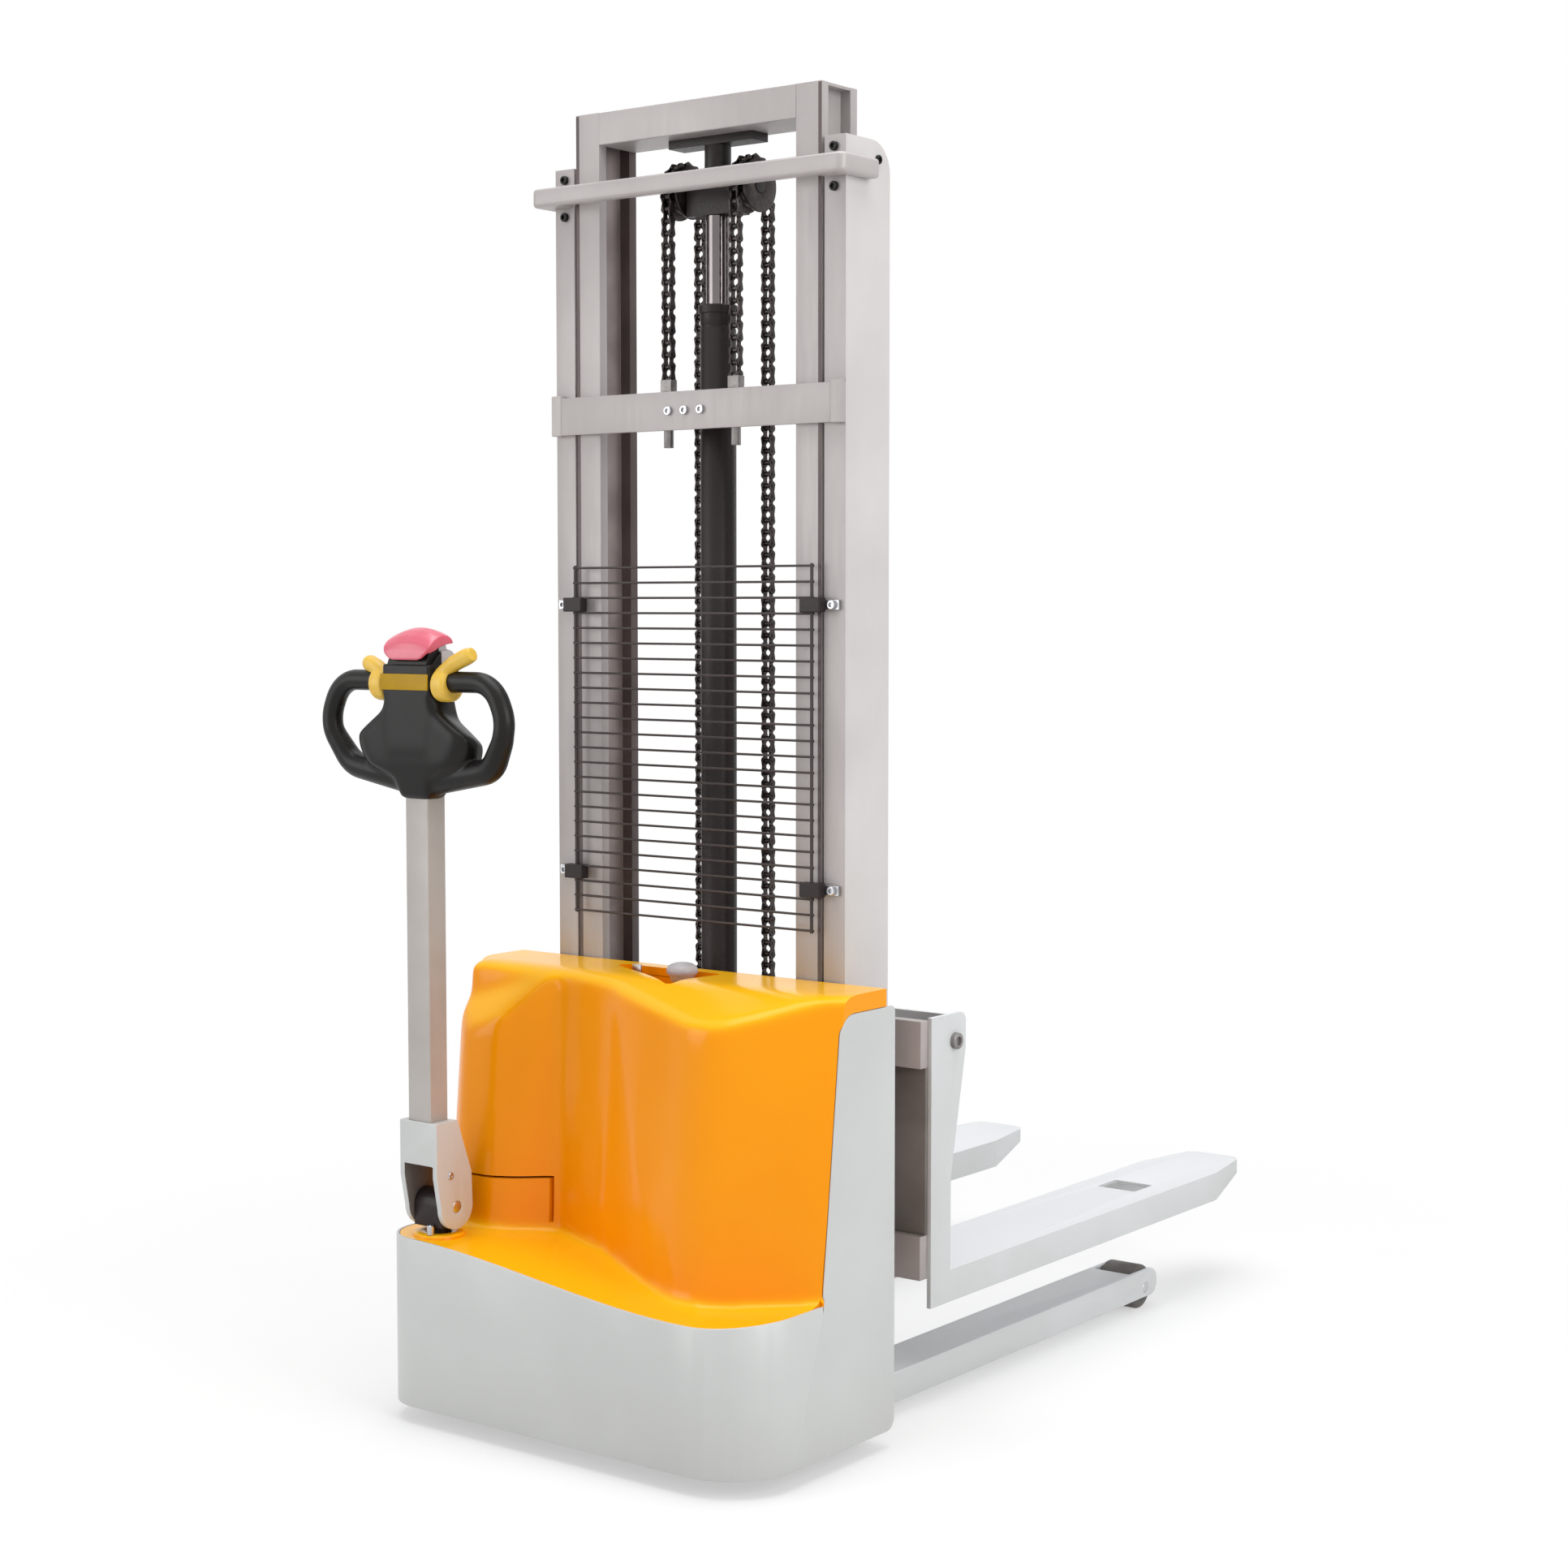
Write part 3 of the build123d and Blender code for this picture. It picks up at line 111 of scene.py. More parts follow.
def loft(bm, rings, closed=False):
    loops = [[bm.verts.new(place) for place in ring] for ring in rings]
    pairs = list(zip(loops, loops[1:]))
    if closed:
        pairs.append((loops[-1], loops[0]))
    for a, b in pairs:
        for i in range(len(a)):
            j = (i + 1) % len(a)
            bm.faces.new((a[i], a[j], b[j], b[i]))
    if not closed:
        bm.faces.new(loops[0])
        bm.faces.new(loops[-1])


def prism(bm, outline, plane, low, high):
    at = {
        "XY": lambda p, q: spot(p[0], p[1], q),
        "XZ": lambda p, q: spot(p[0], q, p[1]),
        "YZ": lambda p, q: spot(q, p[0], p[1]),
    }[plane]
    loft(bm, [[at(p, q) for p in outline] for q in (low, high)])


def brick(bm, x0, x1, y0, y1, z0, z1):
    prism(bm, [(x0, y0), (x1, y0), (x1, y1), (x0, y1)], "XY", z0, z1)


def bothEnds(profile):
    return [(-step, radius) for step, radius in reversed(profile)] + profile


def lathe(bm, profile, centre, axis, sides, closed=False):
    along, across, up = (axisX, axisY, axisZ) if axis == "X" else (axisZ, axisX, axisY)
    rings = [circle(Vector(centre) + along * step, across, up, radius, sides) for step, radius in profile]
    loft(bm, [[spot(*p) for p in ring] for ring in rings], closed)


def tubeAlong(bm, points, radii, sides):
    rings = []
    side = None
    for i, here in enumerate(points):
        ahead = (points[min(i + 1, len(points) - 1)] - points[max(i - 1, 0)]).normalized()
        side = side or ahead.orthogonal()
        side = (side - ahead * side.dot(ahead)).normalized()
        rings.append([spot(*p) for p in circle(here, side, ahead.cross(side), radii[i], sides)])
    loft(bm, rings)


def finished(bm, name="shape"):
    mesh = bpy.data.meshes.new(name)
    bm.to_mesh(mesh)
    bm.free()
    return mesh


def meshOf(bm):
    bmesh.ops.remove_doubles(bm, verts=bm.verts, dist=meshLook["made"])
    bmesh.ops.recalc_face_normals(bm, faces=bm.faces)
    return finished(bm)


def build(*makers):
    bm = bmesh.new()
    for maker, *values in makers:
        maker(bm, *values)
    return meshOf(bm)


def linked(name, data):
    obj = bpy.data.objects.new(name, data)
    bpy.context.collection.objects.link(obj)
    return obj


def plainMesh(name, points, edges=(), faces=()):
    mesh = bpy.data.meshes.new(name)
    mesh.from_pydata(points, edges, faces)
    return mesh


# The mesh that the modifiers give is kept, and the objects that made it are removed
def withModifiers(obj, helpers):
    depsgraph = bpy.context.evaluated_depsgraph_get()
    mesh = bpy.data.meshes.new_from_object(obj.evaluated_get(depsgraph))
    for used in (obj, *helpers):
        bpy.data.objects.remove(used)
    return mesh


def shaped(mesh, *steps):
    obj = linked("shaping", mesh)
    helpers = []
    for kind, settings in steps:
        mod = obj.modifiers.new(kind, kind)
        for key, value in settings.items():
            if isinstance(value, bpy.types.Mesh):
                value = linked("shaping", value)
                helpers.append(value)
            setattr(mod, key, value)
    return withModifiers(obj, helpers)


def cutAway(tool):
    return "BOOLEAN", {"operation": "DIFFERENCE", "solver": "MANIFOLD", "object": tool}


def keepInside(tool):
    return "BOOLEAN", {"operation": "INTERSECT", "solver": "MANIFOLD", "object": tool}


def moulded(mesh, voxel, passes):
    return shaped(mesh, ("REMESH", {"mode": "VOXEL", "voxel_size": voxel / 1000}),
                  ("SMOOTH", {"factor": meshLook["smoothing"], "iterations": passes}))


def joined(*meshes):
    bm = bmesh.new()
    for mesh in meshes:
        bm.from_mesh(mesh)
    return finished(bm)


bevelLook = {"sharp": 38}


def addBevel(obj, width, segments, method):
    mod = obj.modifiers.new("softEdges", "BEVEL")
    mod.width = width / 1000
    mod.segments = segments
    mod.limit_method = method
    mod.angle_limit = math.radians(bevelLook["sharp"])
    mod.harden_normals = True
    mod.miter_outer = "MITER_ARC"


def settle(obj, replaced, body=None, rides=True):
    if rides:
        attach(obj, body or nodeBody[replaced[0]])
    if replaced:
        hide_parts(*replaced)


# A piece takes its body from the first node that it replaces, unless it is given
def piece(name, mesh, finish, replaced=(), body=None, sharp=40, bevel=0, segments=2, rides=True):
    mesh.name = name
    mesh.materials.clear()
    mesh.materials.append(finish)
    mesh.shade_smooth()
    obj = linked(name, mesh)
    if bevel:
        addBevel(obj, bevel, segments, "ANGLE")
    else:
        mesh.set_sharp_from_angle(angle=math.radians(sharp))
    settle(obj, replaced, body, rides)
    return obj


# Solids that touch along an edge are welded there, and are taken apart again, in the same order each run
def takeApart(bm):
    left = dict.fromkeys(bm.faces)
    groups = []
    while left:
        group = [left.popitem()[0]]
        for face in group:
            near = [other for edge in face.edges if len(edge.link_faces) == 2 for other in edge.link_faces]
            for other in near:
                if other in left:
                    del left[other]
                    group.append(other)
        groups.append(group)
    for group in groups[1:]:
        bmesh.ops.split(bm, geom=group, use_only_faces=True)


# A welded copy of a solid whose sharp edges are eased; a rule may give an edge its own width
def softCopy(node, width, materials, segments=2, rule=None, faceRule=None):
    bm = bmesh.new()
    bm.from_mesh(frame["nodes"][node].data)
    bmesh.ops.remove_doubles(bm, verts=bm.verts, dist=meshLook["copied"])
    if any(len(edge.link_faces) > 2 for edge in bm.edges):
        takeApart(bm)
    bmesh.ops.dissolve_limit(bm, angle_limit=math.radians(meshLook["flat"]), verts=bm.verts, edges=bm.edges)
    weights = bm.edges.layers.float.new("bevel_weight_edge")
    widths = {}
    for edge in bm.edges:
        if len(edge.link_faces) == 2 and edge.calc_face_angle(0) >= math.radians(bevelLook["sharp"]):
            own = rule(truckPoint((edge.verts[0].co + edge.verts[1].co) / 2)) if rule else None
            widths[edge] = width if own is None else own
    widest = max([width, *widths.values()])
    for edge, own in widths.items():
        edge[weights] = own / widest
    for face in bm.faces:
        face.smooth = True
        face.material_index = faceRule(truckPoint(face.calc_center_median()), face) if faceRule else 0
    mesh = finished(bm, node + "_soft")
    for material in materials:
        mesh.materials.append(material)
    obj = linked(mesh.name, mesh)
    addBevel(obj, widest, segments, "WEIGHT")
    settle(obj, [node])


# Node trees: a node given as a value stands for its first output
def setInputs(tree, node, inputs):
    for key, value in inputs.items():
        if isinstance(value, bpy.types.Node):
            value = value.outputs[0]
        if isinstance(value, bpy.types.NodeSocket):
            tree.links.new(value, node.inputs[key])
        else:
            node.inputs[key].default_value = value
    return node


def addNode(tree, kind, inputs=None, **settings):
    node = tree.nodes.new(kind)
    for key, value in settings.items():
        setattr(node, key, value)
    return setInputs(tree, node, inputs or {})


def maths(tree, operation, first, second):
    return addNode(tree, "ShaderNodeMath", {0: first, 1: second}, operation=operation)


def vector(tree, **parts):
    return addNode(tree, "ShaderNodeCombineXYZ", parts)


def remap(tree, value, low, high, toLow=0.0, toHigh=1.0, **settings):
    span = {"Value": value, "From Min": low, "From Max": high, "To Min": toLow, "To Max": toHigh}
    return addNode(tree, "ShaderNodeMapRange", span, **settings)


def noise(tree, place, sizeMm, detail):
    return addNode(tree, "ShaderNodeTexNoise", {"Vector": place, "Scale": 1000 / sizeMm, "Detail": detail})


def hexColour(text):
    parts = [int(text[i:i + 2], 16) / 255 for i in (1, 3, 5)]
    return [c / 12.92 if c <= 0.04045 else ((c + 0.055) / 1.055) ** 2.4 for c in parts] + [1]


def mixTone(tree, share, first, second):
    node = addNode(tree, "ShaderNodeMix", {"Factor": share}, data_type="RGBA")
    for socket, value in zip([s for s in node.inputs if s.type == "RGBA"], (first, second)):
        if isinstance(value, str):
            socket.default_value = hexColour(value)
        else:
            tree.links.new(value, socket)
    return [s for s in node.outputs if s.type == "RGBA"][0]


# A finish drifts between two tones, and a fine grain moves its roughness and bump. Its upward faces may be painted
# lighter, as painted light, or it may be dusty near the floor. Given are two tones, drift and grain in mm, roughness,
# bump and its depth in mm
noiseLook = {
    "drift": (0.35, 0.65), "driftDetail": 3.0, "grain": (0.3, 0.7), "grainDetail": 2.0, "upward": (0.15, 0.85)}


def makeFinish(name, tones, driftMm, grainMm, roughness, bump, depthMm, values, stretch=(1, 1, 1), topTone=None,
               dust=None):
    material = bpy.data.materials.new(name)
    material.use_nodes = True
    tree = material.node_tree
    place = addNode(tree, "ShaderNodeTexCoord").outputs["Object"]
    stretched = addNode(tree, "ShaderNodeMapping", {"Vector": place, "Scale": stretch})
    grain = noise(tree, stretched, grainMm, noiseLook["grainDetail"])
    drift = noise(tree, place, driftMm, noiseLook["driftDetail"])
    tint = mixTone(tree, remap(tree, drift, *noiseLook["drift"]), *tones)
    # upward faces are mixed toward the top tone: painted light from above
    if topTone:
        normal = addNode(tree, "ShaderNodeNewGeometry").outputs["Normal"]
        facing = addNode(tree, "ShaderNodeSeparateXYZ", {"Vector": normal}).outputs["Z"]
        upward = remap(tree, facing, *noiseLook["upward"], interpolation_type="SMOOTHSTEP")
        tint = mixTone(tree, upward, tint, topTone)
    if dust:
        share, heightMm, dustTone = dust
        height = addNode(tree, "ShaderNodeSeparateXYZ", {"Vector": place}).outputs["Z"]
        near = remap(tree, height, heightMm / 1000, 0.0, 0.0, share)
        tint = mixTone(tree, maths(tree, "MULTIPLY", near, drift), tint, dustTone)
    rough = remap(tree, grain, *noiseLook["grain"], *roughness)
    relief = addNode(tree, "ShaderNodeBump", {"Height": grain, "Strength": bump, "Distance": depthMm / 1000})
    looks = {"Base Color": tint, "Roughness": rough, "Normal": relief, **values}
    setInputs(tree, tree.nodes["Principled BSDF"], looks)
    return material


# Moulded ABS cover: smooth and glossy, painted lighter on its upward faces as painted light from above
hoodAbs = makeFinish(
    "mouldedOrangeAbs", ("#F69A02", "#F19300"), 420, 30, (0.18, 0.24), 0.02, 0.3,
    {"IOR": 1.5, "Specular IOR Level": 0.14, "Coat Weight": 0.12, "Coat Roughness": 0.06}, topTone="#FFBC12")
# Silver powder coat on sheet steel: satin, with a fine orange peel drawn coarse enough to show
silverCoat = makeFinish(
    "silverPowderCoat", ("#C8CAC9", "#C1C3C2"), 320, 6, (0.40, 0.50), 0.10, 0.25, {"IOR": 1.48, "Metallic": 0.15},
    dust=(0.35, 160, "#B3B0A8"))
# The same coat on forks and legs, paler, and paler still on top: painted light from above
forkCoat = makeFinish(
    "wornSilverCoat", ("#CFD1D2", "#C7C9C9"), 260, 6, (0.38, 0.5), 0.10, 0.25, {"IOR": 1.48, "Metallic": 0.12},
    topTone="#DEE0E3")
# The same coat on the tiller tube, darker and warmer where hands rub it
tubeCoat = makeFinish(
    "rubbedSilverCoat", ("#B3AEAA", "#AAA49F"), 120, 6, (0.38, 0.48), 0.10, 0.2, {"IOR": 1.48, "Metallic": 0.15},
    stretch=(1, 1, 0.3))
# Grey enamel on rolled channel: satin, with faint streaks along the rail
mastEnamel = makeFinish(
    "greyMastEnamel", ("#B1ABAA", "#A6A09F"), 260, 9, (0.36, 0.46), 0.10, 0.25, {"IOR": 1.5, "Metallic": 0.12},
    stretch=(1, 1, 0.12))
# The outer sides of the rails, paler: painted light on the sides the lamps strike
litSideEnamel = makeFinish(
    "bleachedMastEnamel", ("#CDCAC9", "#C4C0BF"), 260, 9, (0.36, 0.46), 0.10, 0.25, {"IOR": 1.5, "Metallic": 0.12},
    stretch=(1, 1, 0.12))
# Dark enamel on the cylinder, carrier and running gear: near black, softly shining
darkEnamel = makeFinish(
    "darkEnamel", ("#2C2424", "#241D1D"), 150, 5, (0.36, 0.48), 0.12, 0.2, {"IOR": 1.5, "Specular IOR Level": 0.28})
# Dark grey in the hollows inside the carriage and the clevis: painted shade, flat
recessShade = makeFinish("darkGreyPrimer", ("#7E7874", "#6B6561"), 120, 3, (0.6, 0.75), 0.15, 0.15, {"IOR": 1.45})
# Coated guard wire: dark brown black plastic dip
dippedWire = makeFinish("plasticDippedWire", ("#3A2F2E", "#2E2625"), 60, 2, (0.4, 0.52), 0.1, 0.1, {"IOR": 1.48})
# Moulded black grip plastic: spark eroded texture with a soft sheen
gripPlastic = makeFinish(
    "blackGripPlastic", ("#171514", "#131110"), 70, 1.6, (0.3, 0.42), 0.16, 0.1,
    {"IOR": 1.49, "Specular IOR Level": 0.26})
# Red polycarbonate button: glossy, a little light passes in at the edge
redButton = makeFinish(
    "redPolycarbonate", ("#DA6378", "#D35A6F"), 50, 3, (0.18, 0.26), 0.03, 0.05,
    {"IOR": 1.58, "Subsurface Weight": 0.06, "Subsurface Radius": (0.004, 0.001, 0.001)})
# Yellow acetal levers: satin moulding
yellowAcetal = makeFinish("yellowAcetal", ("#E4BC4C", "#DDB23C"), 45, 4, (0.32, 0.42), 0.08, 0.15, {"IOR": 1.48})
# Yellow lacquer on the plate of the tiller head: darker, nearly flat
goldPlate = makeFinish(
    "yellowLacquer", ("#B48C06", "#AA8304"), 40, 3, (0.3, 0.4), 0.06, 0.1, {"IOR": 1.5, "Specular IOR Level": 0.2})
# Pale grey ABS: stop button and the front of the tiller head
greyAbs = makeFinish("paleGreyAbs", ("#B9B5B8", "#AFABAE"), 40, 2, (0.34, 0.44), 0.1, 0.1, {"IOR": 1.5})
# Turned steel: bright with fine tool marks round the axle
turnedSteel = makeFinish(
    "turnedSteel", ("#B8B8B8", "#A6A6A8"), 30, 1.2, (0.24, 0.38), 0.12, 0.05, {"Metallic": 1.0}, stretch=(6, 1, 1))
# Zinc plate on screws and pins: bright and bluish
zincBolt = makeFinish("zincPlatedSteel", ("#C9C9CC", "#B7B8BC"), 12, 1.5, (0.22, 0.36), 0.08, 0.05, {"Metallic": 1.0})
# Blackened screws: dark with a dull shine
blackBolt = makeFinish("blackenedSteel", ("#2A2828", "#201E1E"), 12, 1.5, (0.35, 0.5), 0.1, 0.05, {"Metallic": 0.7})
# Hard chrome rod: a dark warm tone standing in for the dark surroundings it mirrors (painted reflection), with
# hairline polish marks along it
chromeRod = makeFinish(
    "hardChrome", ("#807A7A", "#756F6F"), 200, 2, (0.08, 0.16), 0.05, 0.02, {"Metallic": 1.0}, stretch=(1, 1, 0.05))
# Dull zinc on the chain anchors and fork screws: grey, hardly mirroring
dullZinc = makeFinish("dullZinc", ("#9C9896", "#85817F"), 25, 2, (0.4, 0.55), 0.12, 0.08, {"Metallic": 0.9})
# Greased roller track inside the rails: brown grey, streaked along the travel; its edge is darker, painted shade
rollerTrack = makeFinish(
    "greasedTrack", ("#A39896", "#8A7E7C"), 90, 14, (0.3, 0.46), 0.12, 0.2, {"Metallic": 0.3}, stretch=(1, 1, 0.04))
# the front flange face and lip inside the channel: darker, painted shade in the channel
trackShade = makeFinish(
    "greasedTrackEdge", ("#5B4E4C", "#4C413F"), 120, 14, (0.34, 0.5), 0.12, 0.2, {"Metallic": 0.2},
    stretch=(1, 1, 0.04))
# Grey enamel on the carriage bars, darker than the mast: painted shade from the panel beside them
shadedBarEnamel = makeFinish("greyCarriageEnamel", ("#ABA4A2", "#9E9795"), 140, 6, (0.42, 0.54), 0.1, 0.2, {"IOR": 1.48})
# Oiled leaf chain: near black, with a dull shine
chainPlate = makeFinish(
    "oiledChainSteel", ("#4A4442", "#352F2E"), 18, 2, (0.28, 0.45), 0.15, 0.08, {"Metallic": 0.85})
# Cast polyurethane tread: dark grey, waxy
treadPolyurethane = makeFinish(
    "castPolyurethane", ("#5E5A56", "#4F4B48"), 40, 3, (0.42, 0.56), 0.12, 0.15,
    {"IOR": 1.5, "Subsurface Weight": 0.05})
# Battery case polypropylene: dull black with a faint grain
batteryCase = makeFinish("blackPolypropylene", ("#26262A", "#1F1F22"), 80, 2.5, (0.45, 0.6), 0.2, 0.12, {"IOR": 1.49})
slotFinish = {
    "orange_moulding": hoodAbs, "silver_paint": silverCoat, "mast_paint": mastEnamel, "dark_paint": darkEnamel,
    "dark_wire": dippedWire, "black_plastic": gripPlastic, "red_plastic": redButton, "yellow_plastic": yellowAcetal,
    "grey_plastic": greyAbs, "steel": turnedSteel, "bolt_steel": blackBolt, "chrome": chromeRod,
    "chain_steel": chainPlate, "polyurethane": treadPolyurethane}
for node, obj in frame["nodes"].items():
    obj.data.materials.clear()
    obj.data.materials.append(slotFinish[nodeSlot[node]])
print("finishes made:", len(bpy.data.materials))

# Hood, hatch and deck: one moulding, swollen from its plan, rounded all over, then trimmed to the steel around it
plateTop = limits("base_plate")[1].z
hoodHigh = limits("hood")[1]
panelTop = limits("chassis_shell")[1].z
tillerAxis = middleOf("tiller_pivot_pin")
hoodLook = {
    "top": hoodHigh.z, "front": hoodHigh.y, "lip": hoodHigh.x, "side": hoodHigh.x - 6, "reach": 430, "wall": 14,
    # plan corners as (foot x, foot y, crest x, crest y, round), from the right panel round to the left side
    "corners": [(382, -169, 382, -121, 0), (200, -291, 215, -251, 110), (-60, -177, -60, -160, 160),
                (-172, -158, -172, -148, 25), (-262, -238, -262, -196, 22), (-336, -238, -336, -196, 40),
                (-382, -205, -382, -160, 20)],
    "leftStep": -108, "slopeStart": -130, "slopeFall": 0.43,
    "noseStart": -150, "noseFall": 1.13, "noseEdge": -172, "noseTilt": 0.28,
    # the hollow inside keeps these gaps to the side and front, and its left wall starts at the step
    "innerGap": 4, "innerLeft": 8, "innerStep": -140,
    "voxel": 5, "passes": 84, "cornerLeft": 74, "cornerRight": 114, "cornerSteps": 16, "rear": -358,
    "panelHead": -122, "panelFoot": -170, "panelFootZ": 261, "panelRound": 35, "panelGap": 1, "panelLap": 2,
    "deckWall": 7, "deckStep": 20, "deckFoot": 150, "deckRear": -410, "deckFront": -60, "hubClear": 60, "level": 0.9,
    "pocket": [(-165, -34), (62, -148), (82, -32)], "pocketRound": 12, "pocketFloor": 702, "pocketUnder": 30,
    "tray": [(-172, -33), (63, -152), (86, -31)], "trayRound": 14, "trayFloor": 4, "trayRise": 25,
    "hatch": (-312, -182, 318, 392), "hatchSeam": (7.0, 4.0),
    # the cutting shapes reach past the hood to these planes
    "foot": 190, "head": 40, "under": 100, "above": 900, "far": 500, "behind": -420, "ahead": 60, "wings": 40}
deckMesh = frame["nodes"]["deck_cover"].data
deckTops = sorted((p.x, p.z) for face in deckMesh.polygons if face.normal.z > hoodLook["level"] for p in
                  [truckPoint(deckMesh.vertices[i].co) for i in face.vertices]
                  if (p - tillerAxis).to_2d().length > hoodLook["hubClear"])


def deckHeight(x):
    for (x0, z0), (x1, z1) in zip(deckTops, deckTops[1:]):
        if x0 <= x < x1:
            return z0 + (z1 - z0) * (x - x0) / (x1 - x0)
    return deckTops[0][1] if x < deckTops[0][0] else deckTops[-1][1]


def hoodPlan(z, shift, inner):
    look = hoodLook
    share = (z - plateTop) / (look["top"] - plateTop)
    points = [(fx + (cx - fx) * share, fy + (cy - fy) * share + shift) for fx, fy, cx, cy, r in look["corners"]]
    radii = [corner[4] for corner in look["corners"]]
    if inner:
        side, front = look["side"] - look["innerGap"], look["front"] - look["innerGap"]
        points[0] = (side, points[0][1])
        points[-1] = (-side + look["innerLeft"], points[-1][1])
        points = [(side, front)] + points + [(-side, look["innerStep"]), (-side, front)]
        return roundCorners(points, [0] + radii + [0, 0])
    slope = (points[0][1] - points[1][1]) / (points[0][0] - points[1][0])
    reach, step, wings = look["reach"], look["leftStep"], look["wings"]
    points[0] = (reach, points[0][1] + slope * (reach - look["side"]))
    points = [(reach, wings)] + points + [(-look["side"], step), (-reach, step), (-reach, wings)]
    return roundCorners(points, [0] + radii + [0, 0, 0])


def hoodSolid(drop, inner):
    look = hoodLook
    rear, ahead, above, far = look["behind"], look["ahead"], look["above"], look["far"]
    start, top = look["noseStart"] + drop, look["top"] - drop
    heights = (look["foot"], look["top"] + look["head"])
    block = build((loft, [[spot(p.x, p.y, z) for p in hoodPlan(z, drop, inner)] for z in heights]))
    slopeEnd = top - look["slopeFall"] * (look["slopeStart"] - rear)
    over = [(ahead, top), (look["slopeStart"], top), (rear, slopeEnd), (rear, above), (ahead, above)]
    noseEnd = top - look["noseFall"] * (start - rear)
    fall = look["noseTilt"] * (look["noseEdge"] + far)
    slant = [[spot(x, y, z) for y, z in ((start, top - down), (rear, noseEnd - down), (rear, above), (start, above))]
             for x, down in ((-far, fall), (look["noseEdge"], 0))]
    return shaped(block, cutAway(build((prism, over, "YZ", -far, far))), cutAway(build((loft, slant))))


def underDeck(drop, rear):
    look = hoodLook
    xs = range(-look["reach"], look["reach"] + 1, look["deckStep"])
    outline = [(x, deckHeight(x) - drop) for x in xs] + [(xs[-1], look["deckFoot"]), (xs[0], look["deckFoot"])]
    return build((prism, outline, "XZ", rear, look["deckFront"]))


def makeHood():
    look = hoodLook
    soft = moulded(joined(hoodSolid(0, False), underDeck(0, look["deckRear"])), look["voxel"], look["passes"])
    lip, side, front, rear = look["lip"], look["side"], look["front"], look["rear"]
    behind, above, far = look["behind"], look["above"], look["far"]
    widen = look["panelFoot"] - look["panelLap"]
    plan = [(lip, front), (lip, widen), (side, widen), (side, rear), (-side, rear), (-side, widen), (-lip, widen),
            (-lip, front)]
    plan = roundCorners(plan, [0, 0, 0, look["cornerRight"], look["cornerLeft"], 0, 0, 0], look["cornerSteps"])
    lean = (look["panelHead"] - look["panelFoot"]) / (panelTop - look["panelFootZ"])
    low, gap = look["under"], look["panelGap"]
    head = look["panelHead"] - gap
    panel = [(head - lean * (panelTop - low), low), (head, panelTop + gap), (look["ahead"], panelTop + gap),
             (look["ahead"], low)]
    panel = roundCorners(panel, [0, look["panelRound"], 0, 0])
    pocket = roundCorners(look["pocket"], [look["pocketRound"]] * 3)
    shell = shaped(
        soft,
        keepInside(build((prism, plan, "XY", plateTop + 1, above))),
        cutAway(build((prism, panel, "YZ", side, far))),
        cutAway(build((prism, panel, "YZ", -far, -side))),
        cutAway(hoodSolid(look["wall"], True)),
        cutAway(underDeck(look["deckWall"], behind)),
        cutAway(build((prism, pocket, "XY", look["pocketFloor"] - look["pocketUnder"], above))))
    x0, x1, z0, z1 = look["hatch"]
    gapX, gapZ = look["hatchSeam"]
    door = build((brick, x0, x1, behind, look["noseStart"], z0, z1))
    opening = build((brick, x0, x1 + gapX, behind, look["noseStart"], z0, z1 + gapZ))
    return shaped(shell, cutAway(opening)), shaped(shell, keepInside(door))


def makePocketTray():
    look = hoodLook
    outer = roundCorners(look["tray"], [look["trayRound"]] * 3)
    inner = roundCorners(look["pocket"], [look["pocketRound"]] * 3)
    floor = look["pocketFloor"]
    rim = floor + look["trayRise"]
    layers = (outer, floor - look["trayFloor"]), (outer, rim), (inner, rim), (inner, floor)
    return build((loft, [[spot(p.x, p.y, z) for p in ring] for ring, z in layers]))


hoodMesh, hatchMesh = makeHood()
piece("hood_moulding", joined(hoodMesh, makePocketTray()), hoodAbs, ("hood", "deck_cover"), sharp=32)
piece("hatch_panel", hatchMesh, hoodAbs, ["service_hatch"], sharp=32)
ringLook = {"radius": 44, "hole": 21, "foot": 285, "top": limits("deck_cover")[1].z}
outer, hole, foot, top = ringLook.values()
ring = [(foot, outer), (top - 6, outer), (top - 2, outer - 2), (top, outer - 7), (top, hole + 4), (top - 3, hole),
        (foot, hole)]
piece("steering_ring", build((lathe, ring, (tillerAxis.x, tillerAxis.y, 0), "Z", 48, True)), hoodAbs, (), "chassis",
      50)
print("hood moulded:", len(hoodMesh.polygons), "faces")

# Tiller head with its two loops: one moulding, rounded where the loops grow out of the body
tillerX = tillerAxis.x
headLow, headHigh = limits("tiller_head")
gripLook = {
    "y": -345, "radius": 17.3, "sides": 24,
    "path": [(0, 1222), (171, 1222), (202, 1150), (158, 1082), (22, 1058)],
    "bends": [0, 55, 60, 45, 0], "bendSteps": 12,
    # the lower arms swell and sink into the body between these two heights
    "swell": 5, "sink": 14, "swellTop": 1140, "swellFoot": 1066,
    # half outlines of the central column and of the wings beside it, from the foot to the top
    "column": [(33, 1030, 6), (39, 1060, 20), (44, 1110, 60), (52.5, 1195, 60), (52.5, 1250, 3)],
    "wings": [(34, 1050, 8), (92, 1076, 26), (108, 1100, 14), (113, 1126, 9), (58, 1166, 26), (47, 1206, 8)],
    # depth, spread and rise of the wings, from the rear to the front
    "wingLayers": [(-368, 0.9, 10), (-358, 1.1, 10), (-335, 1.14, 0), (-303, 1.0, -8)],
    "blockHalf": 52.5, "blockFoot": 1198, "leanTop": 1085, "lean": 0.32, "leanRear": -330,
    "voxel": 2.4, "bodyPasses": 60, "passes": 16, "far": 400, "blockGap": 0.5, "frontPast": 2}


def mirrored(half):
    points = [(tillerX + x, z) for x, z, r in half] + [(tillerX - x, z) for x, z, r in reversed(half)]
    radii = [r for x, z, r in half]
    return roundCorners(points, radii + radii[::-1])


